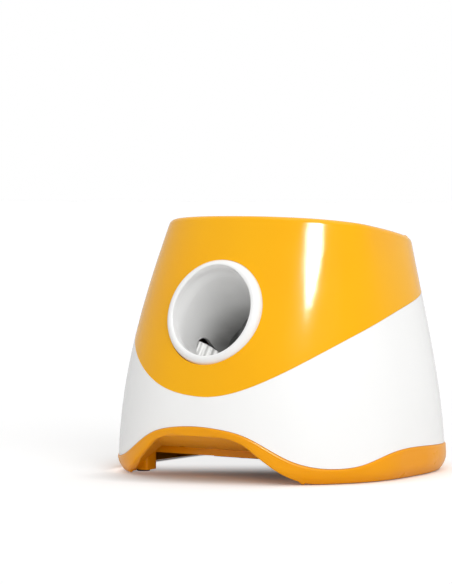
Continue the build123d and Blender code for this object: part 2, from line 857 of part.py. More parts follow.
with BuildPart() as guide_cover:
    add(guide.part)
    add(above_seam.part, mode=Mode.INTERSECT)
    for plane, places in tube_screw_planes:
        passing_hole = holes(plane.offset(tube_wall), places, screw_radius + screw_clearance, tube_wall)
        add(passing_hole, mode=Mode.SUBTRACT)
finish(guide_cover, "guide_cover")

with BuildPart() as tube_screws:
    for plane, places in tube_screw_planes:
        add(screws(plane.offset(tube_wall), places, short_screw))
finish(tube_screws, "tube_screws")

with BuildPart() as ball_sensors:
    for side in (-1, 1):
        with BuildSketch(Plane.YZ.offset(side * (bore_radius + 0.4))):
            with Locations((drop_y, sensor_z)):
                Circle(sensor_radius)
        extrude(amount=side * (sensor_reach - bore_radius))
        with BuildSketch(Plane.YZ.offset(side * sensor_reach)):
            with Locations((drop_y, sensor_z)):
                Circle(sensor_radius + 1)
        extrude(amount=side * 1.2)
finish(ball_sensors, "ball_sensors")

# ================================================================ launch wheels, motors and saddles
for side, name in ((-1, "left"), (1, "right")):
    hub_plane = wheel_plane(side)
    tyre_inner = wheel_radius - tyre_thickness
    motor_top = -wheel_width / 2 - motor_gap
    motor_end = motor_top - motor_length

    with BuildPart() as tyre:
        with BuildSketch(hub_plane.offset(-wheel_width / 2)):
            Circle(wheel_radius - rib_height)
            with PolarLocations(wheel_radius - rib_height, rib_count):
                Rectangle(2 * rib_height, 2 * rib_height)
            Circle(tyre_inner + pin_clearance, mode=Mode.SUBTRACT)
        extrude(amount=wheel_width)
    finish(tyre, f"{name}_wheel_tyre")

    with BuildPart() as hub:
        rim_half = wheel_width / 2 - 1
        hub_profile = (
            (shaft_radius + pin_clearance, -hub_boss_radius),
            (hub_boss_radius, -hub_boss_radius),
            (hub_boss_radius, -hub_web / 2),
            (tyre_inner - hub_web, -hub_web / 2),
            (tyre_inner - hub_web, -rim_half),
            (tyre_inner, -rim_half),
            (tyre_inner, rim_half),
            (tyre_inner - hub_web, rim_half),
            (tyre_inner - hub_web, hub_web / 2),
            (hub_boss_radius, hub_web / 2),
            (hub_boss_radius, hub_boss_radius),
            (shaft_radius + pin_clearance, hub_boss_radius),
        )
        add(turn(hub_plane, hub_profile))
        with BuildSketch(hub_plane):
            with PolarLocations((tyre_inner + hub_boss_radius) / 2 - 1, spoke_count):
                Circle(hub_boss_radius)
        extrude(amount=hub_web, both=True, mode=Mode.SUBTRACT)
    finish(hub, f"{name}_wheel_hub")

    with BuildPart() as shaft:
        with BuildSketch(hub_plane.offset(motor_top - shaft_depth)):
            Circle(shaft_radius)
        extrude(amount=hub_boss_radius - motor_top + shaft_depth)
    finish(shaft, f"{name}_wheel_shaft")

    with BuildPart() as motor:
        shaft_bore = shaft_radius + shaft_clearance
        motor_profile = (
            (shaft_bore, motor_top - shaft_depth - 1),
            (shaft_bore, motor_top + motor_boss_height),
            (motor_boss_radius, motor_top + motor_boss_height),
            (motor_boss_radius, motor_top),
            (motor_radius, motor_top),
            (motor_radius, motor_end + 1),
            (motor_radius - 1, motor_end),
            (0, motor_end),
            (0, motor_top - shaft_depth - 1),
        )
        add(turn(hub_plane, motor_profile))
        front_holes = holes(hub_plane.offset(motor_top), mirrored((motor_screw_spread, 0)), screw_radius, 4)
        add(front_holes, mode=Mode.SUBTRACT)
        with BuildSketch(hub_plane.offset(motor_end)):
            with Locations(*mirrored((motor_screw_spread, 0))):
                Rectangle(0.8, 3)
        extrude(amount=-3)
    finish(motor, f"{name}_motor")

    with BuildPart() as saddle:
        sleeve_bore = motor_radius + pin_clearance
        with BuildSketch(hub_plane.offset(motor_top + saddle_plate)):
            Circle(motor_radius + saddle_wall)
        extrude(amount=-saddle_plate - saddle_length)
        upper_end = hub_plane.from_local_coords((0, 0, motor_top - saddle_plate))
        lower_end = hub_plane.from_local_coords((0, 0, motor_top - saddle_length))
        with BuildSketch(Plane.YZ.offset(side * wheel_offset)):
            with BuildLine():
                Polyline(
                    (upper_end.Y, upper_end.Z),
                    (lower_end.Y, lower_end.Z),
                    (saddle_y - saddle_foot[1] / 2, floor_top),
                    (saddle_y + saddle_foot[1] / 2, floor_top),
                    close=True,
                )
            make_face()
        extrude(amount=saddle_web / 2, both=True)
        with BuildSketch(Plane.XY.offset(floor_top)):
            with Locations((side * wheel_offset, saddle_y)):
                RectangleRounded(saddle_foot[0], saddle_foot[1], boss_radius)
        extrude(amount=saddle_foot[2])
        with BuildSketch(hub_plane.offset(motor_top)):
            Circle(sleeve_bore)
        extrude(amount=-motor_length - 4, mode=Mode.SUBTRACT)
        with BuildSketch(hub_plane.offset(motor_top + saddle_plate)):
            Circle(motor_boss_radius + panel_gap)
            with Locations(*mirrored((motor_screw_spread, 0))):
                Circle(screw_radius + screw_clearance)
        extrude(amount=-saddle_plate, mode=Mode.SUBTRACT)
        foot_top = Plane.XY.offset(floor_top + saddle_foot[2])
        passing_hole = holes(foot_top, saddle_places, screw_radius + screw_clearance, saddle_foot[2])
        add(passing_hole, mode=Mode.SUBTRACT)
    finish(saddle, f"{name}_motor_saddle")

with BuildPart() as motor_screws:
    for side in (-1, 1):
        plate_top = wheel_plane(side).offset(motor_top + saddle_plate)
        add(screws(plate_top, mirrored((motor_screw_spread, 0)), saddle_plate + 4, 1.4))
finish(motor_screws, "motor_screws")

with BuildPart() as saddle_screws:
    add(screws(foot_top, saddle_places, floor_screw))
finish(saddle_screws, "saddle_screws")

# ================================================================ gate
tilt = radians(gate_rest)
flap_plane = plane_along((0, gate_y, gate_z), (0, sin(tilt), cos(tilt)))

with BuildPart() as gate_flap:
    with BuildSketch(flap_plane):
        with Locations((0, (gate_width / 2 - gate_length) / 2)):
            Rectangle(gate_width, gate_length - gate_width / 2)
        with Locations((0, gate_width / 2 - gate_length)):
            Circle(gate_width / 2)
    extrude(amount=gate_thickness / 2, both=True)
    with BuildSketch(Plane.YZ.offset(-gate_width / 2)):
        with Locations((gate_y, gate_z)):
            Circle(gate_barrel)
    extrude(amount=gate_width)
    with BuildSketch(Plane.YZ.offset(-cheek_outer)):
        with Locations((gate_y, gate_z)):
            Circle(gate_pin)
    extrude(amount=2 * cheek_outer + servo_socket)
finish(gate_flap, "gate_flap")

with BuildPart() as gate_servo:
    with BuildSketch(Plane.YZ.offset(cheek_outer)):
        with Locations((gate_y, servo_centre_z)):
            Rectangle(servo_size[1], servo_size[2])
    extrude(amount=servo_size[0])
    with BuildSketch(Plane.YZ.offset(cheek_outer)):
        with Locations((gate_y, servo_centre_z)):
            Rectangle(servo_size[1], servo_size[2] + 2 * servo_ear)
    extrude(amount=gate_thickness)
    with BuildSketch(Plane.YZ.offset(cheek_outer)):
        with Locations((gate_y, gate_z)):
            Circle(gate_pin + pin_clearance)
    extrude(amount=servo_socket + 0.5, mode=Mode.SUBTRACT)
    passing_hole = holes(ear_face, servo_screw_places, screw_radius + screw_clearance, gate_thickness)
    add(passing_hole, mode=Mode.SUBTRACT)
finish(gate_servo, "gate_servo")

with BuildPart() as servo_screws:
    add(screws(ear_face, servo_screw_places, gate_thickness + cheek_thickness - 0.2))
finish(servo_screws, "servo_screws")

# ================================================================ hopper
bowl_bottom = Plane((0, drop_y, drop_top))
spigot_radius = bore_radius - spigot_gap
waist_outline = [
    size + (top - size) * (bowl_waist_share - 2 / 3) * 3
    for size, top in zip(body_sections[2][1:], rim_outline)
]


def bowl_form(top_plane, thickness, bottom_radius, bottom_z):
    """The shape of the hopper, from the rim through its waist to the round throat."""
    with BuildPart() as form:
        with BuildSketch(top_plane):
            with BuildLine():
                add(closed_curve(outline(*(size - rim_lip - bowl_gap - thickness for size in rim_outline))))
            make_face()
        with BuildSketch(section_plane(bowl_waist_share)):
            with BuildLine():
                add(closed_curve(outline(*(size - bowl_waist_inset - thickness for size in waist_outline))))
            make_face()
        with BuildSketch(Plane((0, drop_y, bottom_z))):
            with BuildLine():
                size = (bottom_radius, bottom_radius, bottom_radius)
                add(closed_curve(outline(*size, front_power=2, rear_power=2)))
            make_face()
        loft()
    return form.part


with BuildPart() as hopper_bowl:
    add(bowl_form(rim_plane.offset(-0.6), 0, bore_radius + tube_wall, drop_top))
    # the flange under the lip of the rim
    with BuildSketch(rim_plane.offset(-shell_wall)):
        with BuildLine():
            add(closed_curve(outline(*(size - bowl_flange_inset for size in rim_outline))))
        make_face()
    extrude(amount=-bowl_flange_thickness)
    with BuildSketch(Plane((0, drop_y, drop_top - spigot_length))):
        Circle(spigot_radius)
    extrude(amount=spigot_length + 1)
    throat = spigot_radius - spigot_wall
    # a small step lies between the spigot and the wider throat of the bowl
    add(bowl_form(rim_plane.offset(-0.6), bowl_wall, throat + throat_step, drop_top + 2), mode=Mode.SUBTRACT)
    with BuildSketch(Plane((0, drop_y, drop_top - spigot_length))):
        Circle(throat)
    extrude(amount=spigot_length + 3, mode=Mode.SUBTRACT)
finish(hopper_bowl, "hopper_bowl")

# ================================================================ batteries
cell_centre_z = cell_floor + cell_radius
cell_rows_y = tuple(bay_front_y + (row + 0.5) * cell_pitch for row in range(cell_rows))
nub_radius = 3.0
nub_height = 1.0

with BuildPart() as battery_cells:
    for start in (-0.5 - cell_length, 0.5):
        with BuildSketch(Plane.YZ.offset(start)):
            with Locations(*((y, cell_centre_z) for y in cell_rows_y)):
                Circle(cell_radius)
        extrude(amount=cell_length)
        with BuildSketch(Plane.YZ.offset(start + cell_length)):
            with Locations(*((y, cell_centre_z) for y in cell_rows_y)):
                Circle(nub_radius)
        extrude(amount=nub_height)
finish(battery_cells, "battery_cells")

with BuildPart() as battery_contacts:
    for side, gap in ((-1, bay_half_width - cell_length - 0.5), (1, bay_half_width - cell_length - 1.5)):
        with BuildSketch(Plane.YZ.offset(side * bay_half_width)):
            with Locations(*((y, cell_centre_z) for y in cell_rows_y)):
                Rectangle(18, 16)
        extrude(amount=-side * 0.6)
        with BuildSketch(Plane.YZ.offset(side * bay_half_width)):
            with Locations(*((y, cell_centre_z) for y in cell_rows_y)):
                Circle(4)
        extrude(amount=-side * gap)
finish(battery_contacts, "battery_contacts")

with BuildPart() as battery_door:
    add(door_shape(0))
    passing_hole = holes(looking_up(bay_underside), door_places, screw_radius + screw_clearance, door_thickness)
    add(passing_hole, mode=Mode.SUBTRACT)
finish(battery_door, "battery_door")

with BuildPart() as door_screws:
    add(screws(looking_up(bay_underside), door_places, short_screw))
finish(door_screws, "door_screws")

# ================================================================ controls on the back
with BuildPart() as control_panel:
    with BuildSketch(panel_plane):
        RectangleRounded(panel_width, panel_height, panel_corner)
    extrude(amount=panel_thickness)
    with BuildSketch(panel_plane):
        with Locations(*button_places):
            Circle(button_radius + button_gap)
        with Locations(*light_places):
            Circle(light_radius + pin_clearance)
    extrude(amount=panel_thickness, mode=Mode.SUBTRACT)
finish(control_panel, "control_panel")

flange_top = -panel_backing
stem_end = -board_depth + switch_size[2] + 1.4 + button_travel + panel_gap
for place, name in zip(button_places, ("power_button", "distance_button")):
    button_plane = Plane(
        origin=panel_plane.from_local_coords(place + (0,)), x_dir=panel_plane.x_dir, z_dir=panel_plane.z_dir
    )
    with BuildPart() as button:
        button_profile = (
            (0, stem_end),
            (button_stem, stem_end),
            (button_stem, flange_top - 1.2),
            (button_flange, flange_top - 1.2),
            (button_flange, flange_top),
            (button_radius, flange_top),
            (button_radius, panel_thickness + button_proud - 0.8),
            (button_radius - 0.8, panel_thickness + button_proud),
            (0, panel_thickness + button_proud),
        )
        add(turn(button_plane, button_profile))
    finish(button, name)

with BuildPart() as push_switches:
    with BuildSketch(board_plane):
        with Locations(*button_places):
            Rectangle(switch_size[0], switch_size[1])
    extrude(amount=switch_size[2])
    with BuildSketch(board_plane.offset(switch_size[2])):
        with Locations(*button_places):
            Circle(switch_plunger)
    extrude(amount=1.4)
finish(push_switches, "push_switches")

with BuildPart() as status_lights:
    with BuildSketch(board_plane):
        with Locations(*light_places):
            Circle(light_radius)
    extrude(amount=board_depth + panel_thickness + 0.5)
finish(status_lights, "status_lights")

with BuildPart() as main_board:
    with BuildSketch(board_plane):
        Rectangle(board_size[0], board_size[1])
        with Locations(*board_places):
            Circle(screw_radius + screw_clearance, mode=Mode.SUBTRACT)
    extrude(amount=-board_thickness)
    with BuildSketch(board_plane.offset(-board_thickness)):
        with Locations((0, -3)):
            Rectangle(12, 12)
    extrude(amount=-1.6)
    with BuildSketch(board_plane.offset(-board_thickness)):
        with Locations((-24, -12), (24, -12)):
            Rectangle(12, 7)
    extrude(amount=-6)
    with BuildSketch(board_plane.offset(-board_thickness)):
        with Locations((-16, 10), (-6, 12)):
            Circle(3.2)
    extrude(amount=-8)
finish(main_board, "main_board")

with BuildPart() as buzzer:
    buzzer_seat = board_plane.offset(-board_thickness)
    with BuildSketch(buzzer_seat):
        with Locations((18, 9)):
            Circle(buzzer_radius)
    extrude(amount=-buzzer_height)
    with BuildSketch(buzzer_seat.offset(-buzzer_height)):
        with Locations((18, 9)):
            Circle(1)
    extrude(amount=2, mode=Mode.SUBTRACT)
finish(buzzer, "buzzer")

with BuildPart() as board_screws:
    add(screws(buzzer_seat.rotated((180, 0, 0)), board_places, board_thickness + short_screw - 1))
finish(board_screws, "board_screws")

with BuildPart() as dc_socket:
    socket_profile = (
        (2.8, socket_flange_thickness),
        (socket_flange - 0.5, socket_flange_thickness),
        (socket_flange, socket_flange_thickness - 0.5),
        (socket_flange, 0),
        (socket_radius, 0),
        (socket_radius, -socket_length),
        (0, -socket_length),
        (0, -socket_length + 4),
        (2.8, -socket_length + 4),
    )
    add(turn(socket_plane, socket_profile))
    with BuildSketch(socket_plane.offset(-socket_length + 4)):
        Circle(1)
    extrude(amount=socket_length - 5)
finish(dc_socket, "dc_socket")

# ================================================================ feet and the screws of the shells
with BuildPart() as foot_pads:
    with BuildSketch(Plane.XY):
        with Locations(*foot_places):
            Circle(foot_pad_radius)
    extrude(amount=foot_pad_height)
finish(foot_pads, "foot_pads")

with BuildPart() as shell_screws:
    add(screws(looking_up(post_split_z - post_web), post_places, post_screw_length))
finish(shell_screws, "shell_screws")

with BuildPart() as base_screws:
    add(screws(looking_up(floor_underside), base_boss_places + front_leg_places, short_screw))
finish(base_screws, "base_screws")
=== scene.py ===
# %% [markdown]
# # An automatic ball launcher for dogs
# The launcher is a rounded hopper on a scooped base. Balls drop through the bowl onto a gate, roll
# between two ribbed wheels and leave through a slanted tube with a white ring at its mouth.
# Its parts come ready made from the CAD model. This notebook gives them their finish, makes the
# small turned and moulded pieces that CAD leaves plain, and sets up a floor, lamps and a camera.

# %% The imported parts
from math import radians

import bmesh
import bpy
import numpy as np
from mathutils import Matrix, Quaternion, Vector


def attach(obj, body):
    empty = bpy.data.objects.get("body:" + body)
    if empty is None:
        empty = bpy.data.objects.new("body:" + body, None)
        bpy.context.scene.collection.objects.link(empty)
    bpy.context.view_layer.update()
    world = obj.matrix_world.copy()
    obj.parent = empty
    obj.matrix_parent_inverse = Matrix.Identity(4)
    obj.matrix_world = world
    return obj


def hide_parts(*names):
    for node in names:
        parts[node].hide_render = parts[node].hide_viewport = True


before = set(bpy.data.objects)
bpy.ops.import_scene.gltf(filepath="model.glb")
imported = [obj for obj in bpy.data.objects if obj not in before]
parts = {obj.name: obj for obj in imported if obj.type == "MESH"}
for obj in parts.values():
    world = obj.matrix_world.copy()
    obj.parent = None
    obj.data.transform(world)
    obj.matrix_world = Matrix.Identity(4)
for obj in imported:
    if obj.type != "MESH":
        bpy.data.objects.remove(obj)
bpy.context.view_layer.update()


# %% [markdown]
# ## Points, faces and pieces
# Every new piece is a surface worked out with numpy. A grid of points could be typed in by hand or
# pulled out of a primitive with modifiers. A formula is shorter, and it keeps a piece's sizes in
# one place, so the grid comes from a formula and these helpers turn it into a mesh.

# %% Grids of points become meshes
MM = 0.001  # metres
SAME_PLACE = 1e-6  # metres: points nearer than this are merged


def quads(rows, columns, closed=False):
    """Corner numbers of the four-sided faces between neighbours in a grid: a point's number is row
    times columns plus column. Each row is a ring, whose last point is joined to its first, and a
    closed grid joins its last row to its first."""
    row = np.arange(rows if closed else rows - 1)[:, None]
    column = np.arange(columns)[None, :]
    below, beside = (row + 1) % rows, (column + 1) % columns
    corners = [(row, column), (row, beside), (below, beside), (below, column)]
    numbers = [line * columns + place for line, place in corners]
    return np.stack(numbers, axis=-1).reshape(-1, 4)


def in_scene(name, data):
    """An object with its mesh, lamp or camera, linked to the scene."""
    made = bpy.data.objects.new(name, data)
    bpy.context.scene.collection.objects.link(made)
    return made


def piece(name, grids, finish, body):
    """One object from several (points, faces) pairs, in millimetres. Points in the same place are
    merged, and the faces are turned out."""
    counts = np.cumsum([0] + [len(points) for points, faces in grids])
    points = np.concatenate([points for points, faces in grids]) * MM
    faces = np.concatenate([faces + start for (_, faces), start in zip(grids, counts)])
    mesh = bpy.data.meshes.new(name)
    mesh.from_pydata(points, [], faces.tolist())
    work = bmesh.new()
    work.from_mesh(mesh)
    bmesh.ops.remove_doubles(work, verts=work.verts, dist=SAME_PLACE)
    bmesh.ops.recalc_face_normals(work, faces=work.faces)
    work.to_mesh(mesh)
    work.free()
    mesh.shade_smooth()
    mesh.materials.append(finish)
    made = in_scene(name, mesh)
    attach(made, body)
    print(name, "faces", len(mesh.polygons), "size mm", np.round(np.ptp(points, axis=0) / MM, 1))
    return made


# %% Softened profiles and turned shapes
def soften(corners, radius, steps=4, closed=True):
    """A polygon with its corners rounded. Each corner gives way to a short curve that leaves one
    side and joins the next at most radius away. A point of it is the mean of start, corner and end
    with the weights (1 - share) squared, 2 share (1 - share) and share squared."""
    corners = np.asarray(corners, float)
    back = np.roll(corners, 1, axis=0) - corners
    ahead = np.roll(corners, -1, axis=0) - corners
    radius = np.broadcast_to(np.asarray(radius, float), len(corners))[:, None]
    if not closed:
        radius = radius * np.r_[0, np.ones(len(corners) - 2), 0][:, None]
    size_back = np.linalg.norm(back, axis=1, keepdims=True)
    size_ahead = np.linalg.norm(ahead, axis=1, keepdims=True)
    most = 0.48  # the share of a side that one corner may take
    start = corners + back * np.minimum(radius / size_back, most)
    end = corners + ahead * np.minimum(radius / size_ahead, most)
    share = np.linspace(0, 1, steps + 1)[None, :, None]
    curve = (1 - share) ** 2 * start[:, None] + 2 * share * (1 - share) * corners[:, None]
    curve = curve + share**2 * end[:, None]
    return curve.reshape(-1, 2)


EAST = np.array([1.0, 0, 0])


def unit(arrows):
    """Each arrow divided by its length."""
    return arrows / np.linalg.norm(arrows, axis=1, keepdims=True)


def spokes(axis, count):
    """Angles round an axis that is square to east, and the direction at each of them: the angle's
    cosine times east plus its sine times up, where up is square to both."""
    angle = np.linspace(0, 2 * np.pi, count, endpoint=False)
    up = np.cross(axis, EAST)
    return angle, np.cos(angle)[:, None] * EAST + np.sin(angle)[:, None] * up


def turned(profile, centre, axis, count=64, closed=True):
    """Points at (radius, height) go round an axis: centre + radius * spoke + height * axis."""
    radius, height = np.asarray(profile, float).T[..., None, None]
    points = np.asarray(centre, float) + radius * spokes(axis, count)[1] + height * np.asarray(axis)
    return points.reshape(-1, 3), quads(len(profile), count, closed)


# %% [markdown]
# ## Patterns as sums
# Moulded plastic is never one flat colour: it has a fine grain, cloudy gloss and faint wear. Node
# trees for that could be wired by hand in the shader editor. Here a small class holds one output
# of a node, and Python's own operators add the Math nodes, so each finish reads as a formula.

# %% A wire that can be added and multiplied
def math_method(operation, swapped=False):
    """A method that adds a Math node to a wire and another value, or to the two swapped."""

    def method(wire, other):
        return wire.maths(operation, *((other, wire) if swapped else (wire, other)))

    return method


class Wire:
    """One output in a material. Arithmetic on it adds Math nodes."""

    def __init__(self, tree, socket=None):
        self.tree = tree
        self.socket = socket

    def node(self, kind, settings=None, inputs=None, output=0):
        """Any other node: its type, its settings, which are set first, then the values or wires of
        its sockets."""
        made = self.tree.nodes.new(kind)
        for name, value in (settings or {}).items():
            setattr(made, name, value)
        for name, value in (inputs or {}).items():
            if isinstance(value, Wire):
                self.tree.links.new(value.socket, made.inputs[name])
            else:
                made.inputs[name].default_value = value
        return Wire(self.tree, made.outputs[output])

    def maths(self, operation, *values):
        """A Math node on values or wires."""
        return self.node("ShaderNodeMath", {"operation": operation}, dict(enumerate(values)))

    __add__, __radd__ = math_method("ADD"), math_method("ADD", swapped=True)
    __sub__, __rsub__ = math_method("SUBTRACT"), math_method("SUBTRACT", swapped=True)
    __mul__, __rmul__ = math_method("MULTIPLY"), math_method("MULTIPLY", swapped=True)
    __gt__, __lt__ = math_method("GREATER_THAN"), math_method("LESS_THAN")

    def between(self, low, high):
        """0 below low, 1 above high and a smooth step in between: 3 share squared minus 2 share
        cubed. Low and high may be the other way round."""
        names = {"Value": self, "From Min": low, "From Max": high}
        return self.node("ShaderNodeMapRange", {"interpolation_type": "SMOOTHSTEP"}, names)


def linear(red, green, blue):
    """A screen colour from 0 to 255 as the linear light that a shader works in."""
    level = np.array([red, green, blue]) / 255
    light = np.where(level <= 0.04045, level / 12.92, ((level + 0.055) / 1.055) ** 2.4)
    return (*light.tolist(), 1.0)


# %% What most finishes share
class Finish:
    """A material under way: the place on the object, its wires and its shader."""

    def __init__(self, name):
        self.material = bpy.data.materials.new(name)
        self.material.use_nodes = True
        tree = self.material.node_tree
        self.shader = tree.nodes["Principled BSDF"]
        self.wire = Wire(tree)
        self.place = self.wire.node("ShaderNodeTexCoord", output="Object")

    def spot(self, scale=(1, 1, 1), turn=(0, 0, 0)):
        """The place on the object in metres, turned and stretched."""
        names = {"Vector": self.place, "Scale": scale, "Rotation": turn}
        return self.wire.node("ShaderNodeMapping", {"vector_type": "POINT"}, names)

    def axis(self, letter):
        """One of the three coordinates of the place, in metres."""
        return self.wire.node("ShaderNodeSeparateXYZ", None, {"Vector": self.place}, letter)

    def cloud(self, size, detail=2.0, place=None):
        """Soft random spots about size millimetres wide, from 0 to 1 around a half."""
        names = {"Vector": place or self.place, "Scale": 1 / (size * MM), "Detail": detail}
        return self.wire.node("ShaderNodeTexNoise", None, names)

    def grains(self, size, place=None):
        """The distance to the nearest of many scattered points, size millimetres apart."""
        names = {"Vector": place or self.place, "Scale": 1 / (size * MM)}
        return self.wire.node("ShaderNodeTexVoronoi", {"feature": "F1"}, names, "Distance")

    def along(self, start, direction):
        """Metres from a start along a direction: the dot product of direction and place - start."""
        names = {0: self.place, 1: tuple(direction)}
        dot = self.wire.node("ShaderNodeVectorMath", {"operation": "DOT_PRODUCT"}, names, "Value")
        return dot - float(np.dot(start, direction))

    def mix(self, share, first, second):
        """A colour between two, each a wire or a screen colour: a mean with weights 1 - share and
        share."""
        first, second = (c if isinstance(c, Wire) else linear(*c) for c in (first, second))
        settings = {"data_type": "RGBA", "blend_type": "MIX"}
        return self.wire.node("ShaderNodeMix", settings, {0: share, 6: first, 7: second}, 2)

    def bump(self, height, depth, below=None):
        """A relief of depth millimetres from a height that runs from 0 to 1."""
        names = {"Height": height, "Distance": depth * MM, "Strength": 1.0}
        if below:
            names["Normal"] = below
        return self.wire.node("ShaderNodeBump", None, names)

    def put(self, **sockets):
        """Set the shader's sockets by name, with spaces written as underscores."""
        for name, value in sockets.items():
            socket = self.shader.inputs[name.replace("_", " ")]
            if isinstance(value, Wire):
                self.wire.tree.links.new(value.socket, socket)
            else:
                socket.default_value = value
        return self.material


# %% [markdown]
# ## Glossy shells
# The outside is injection moulded ABS with a high gloss. Such a surface isn't a mirror: it has a
# very shallow waviness called orange peel, gloss that varies a little where the plastic cooled, and
# dust and hair scratches near the floor. One low roughness would look like glass, so a thin clear
# coat lies over a softer base, and patterns of several sizes disturb both.

# %% Glossy ABS
def glossy_abs(name, colour, deep, gloss, shine=0.25, coat=0.12):
    """Gloss plastic: colour + (0.55 drift + 0.12 speck) towards a deeper tone, and scratches that
    are 0.1 strong, and 0.25 more at the floor, dull it and let a little dust show."""
    make = Finish(name)
    drift = make.cloud(70, 1.0).between(0.35, 0.75)
    speck = make.cloud(0.9, 3.0)
    low = make.axis("Z").between(0.05, 0.0)
    scratch = make.cloud(5, 4.0, make.spot(scale=(1, 1, 14))).between(0.66, 0.86)
    scuff = scratch * (0.1 + 0.25 * low)
    tone = make.mix(drift * 0.55 + speck * 0.12, colour, deep)
    orange_peel = make.bump(make.cloud(2.4, 1.0), 0.012)
    return make.put(
        Base_Color=make.mix(scuff * 0.12, tone, (214, 205, 192)),
        Roughness=gloss + 0.05 * make.cloud(24, 2.0) + 0.22 * scuff,
        Normal=make.bump(scratch, 0.002, orange_peel),
        Specular_IOR_Level=shine,
        Coat_Weight=coat,
        Coat_Roughness=0.05,
        IOR=1.5,
    )


amber, orange = (254, 184, 4), (246, 164, 6)
amber_gloss = glossy_abs("amber_gloss_abs", amber, (251, 177, 2), 0.12, shine=0.2, coat=0.07)
white_gloss = glossy_abs("white_gloss_abs", (252, 252, 251), (249, 249, 248), 0.16)
orange_satin = glossy_abs("orange_base_abs", orange, (241, 155, 4), 0.26, shine=0.2, coat=0.05)
bowl_gloss = glossy_abs("white_bowl_abs", (244, 244, 242), (238, 238, 235), 0.24)
print("amber as light:", np.round(linear(*amber), 3), "orange:", np.round(linear(*orange), 3))


# %% [markdown]
# ## Textured mouldings
# Inner parts come from moulds with a spark-eroded texture: a field of tiny pits that scatters
# light. A noise would look like clouds, while cells look like pits, so the relief reads the
# distance to scattered points. Rubber, nylon and silicone differ only in numbers, so one function
# makes them all from a table.

# %% Satin, nylon and rubber
def textured(name, colour, dusty, pit, depth, gloss, dust):
    """Matt plastic or rubber: pits all over, a dusty colour with the share dust * (patches + pits /
    4), and roughness = gloss + 0.12 patches."""
    make = Finish(name)
    pits = make.grains(pit)
    patches = make.cloud(18, 3.0).between(0.45, 0.75)
    tone = make.mix(patches * dust + pits * 0.25 * dust, colour, dusty)
    return make.put(
        Base_Color=tone,
        Roughness=gloss + 0.12 * patches,
        Normal=make.bump(pits, depth),
    )


# Name, colour, dusty colour, pit and depth in millimetres, gloss, dust
textured_table = [
    ("hub_nylon", (226, 226, 222), (238, 238, 234), 0.6, 0.015, 0.42, 0.1),
    ("gate_nylon", (222, 222, 219), (236, 236, 232), 0.6, 0.015, 0.4, 0.1),
    ("ribbed_tyre_rubber", (251, 251, 249), (243, 243, 240), 0.9, 0.02, 0.45, 0.35),
    ("foot_rubber", (36, 36, 38), (96, 94, 90), 0.8, 0.03, 0.7, 0.5),
    ("saddle_black_abs", (34, 34, 36), (58, 58, 58), 0.8, 0.03, 0.5, 0.4),
    ("panel_grey_abs", (66, 68, 72), (88, 90, 93), 0.5, 0.02, 0.48, 0.3),
    ("orange_key_silicone", (246, 168, 26), (249, 190, 84), 0.4, 0.012, 0.46, 0.3),
    ("switch_black_nylon", (28, 28, 30), (52, 52, 53), 0.5, 0.02, 0.45, 0.3),
    ("mark_white_ink", (238, 238, 236), (222, 222, 220), 0.4, 0.01, 0.4, 0.3),
]
textured_finishes = [textured(*row) for row in textured_table]
hub_nylon, gate_nylon, tyre_rubber, foot_rubber, saddle_black = textured_finishes[:5]
panel_grey, key_silicone, switch_black, mark_white = textured_finishes[5:]
print("textured finishes:", [finish.name for finish in textured_finishes])


# %% [markdown]
# ## Dust and painted shade in the launch tube
# The wheels wear a little rubber off every ball. It settles as grey dust that thickens along the
# bore, and the colour also darkens there as painted shade, since little light reaches deep in. So
# the tube is clean at the mouth and dark near the wheels. An image could hold that, but a
# distance along the bore does it in one line, and the ring's throat takes the tube's tone in the
# same way.

# %% Tube and ring
mouth = np.array([0, -88.3, 121.9])
mouth_lean, tube_lean = radians(17.8), radians(37.0)
mouth_axis = np.array([0, -np.cos(mouth_lean), np.sin(mouth_lean)])
tube_axis = np.array([0, -np.cos(tube_lean), np.sin(tube_lean)])
tube_tone = (244, 244, 243)


def dust_and_shade_tube(name, dust_and_shade_tone):
    """Satin ABS under dust and painted shade, whose share is a smooth step, taken twice, of the
    depth in the bore. It fades out above the gate, where balls pass that haven't met the wheels."""
    make = Finish(name)
    clean_depth, dust_and_shade_depth = 0.018, 0.076
    clean_height, dust_and_shade_height = 0.138, 0.122
    depth = make.along(mouth * MM, -tube_axis).between(clean_depth, dust_and_shade_depth)
    below_gate = make.axis("Z").between(clean_height, dust_and_shade_height)
    # dust is the share of dust and painted shade: deeper in the bore the tube is painted darker
    dust = depth * depth * (3 - 2 * depth) * below_gate
    streak = make.cloud(9, 3.0, make.spot(scale=(1, 0.25, 1))).between(0.3, 0.7)
    pits = make.grains(0.5)
    patches = make.cloud(18, 3.0).between(0.45, 0.75)
    tone = make.mix(patches * 0.3, tube_tone, (232, 232, 230))
    return make.put(
        Base_Color=make.mix(dust * (0.62 + 0.12 * streak), tone, dust_and_shade_tone),
        Roughness=0.28 + 0.3 * dust,
        Normal=make.bump(pits, 0.008),
    )


def ring_abs(name):
    """Gloss white at the lip and the tube's own tone in the throat: a smooth step of the height
    along the ring's axis."""
    make = Finish(name)
    throat = make.along(mouth * MM, mouth_axis).between(0.0025, -0.004)
    drift = make.cloud(50, 1.0).between(0.35, 0.75)
    lip_tone = make.mix(drift, (251, 251, 250), (247, 247, 246))
    return make.put(
        Base_Color=make.mix(throat, lip_tone, tube_tone),
        Roughness=0.2 + 0.08 * throat + 0.04 * make.cloud(24, 2.0),
        Normal=make.bump(make.cloud(2.4, 1.0), 0.01),
        Specular_IOR_Level=0.25,
    )


# (58, 57, 55) is the tone of dust and painted shade deep in the bore
tube_grey = dust_and_shade_tube("tube_white_abs", (58, 57, 55))
ring_gloss = ring_abs("white_ring_abs")
print("tube steeper than ring by degrees:", round(float(np.degrees(tube_lean - mouth_lean)), 1))


# %% [markdown]
# ## Metals
# Screws and motor cans are zinc plated steel: bluish grey, with fine lines and a few dull blooms.
# The lines could go round each axis, but heads face many ways, so fine noise that is stretched in
# one direction stands for the brushing everywhere.

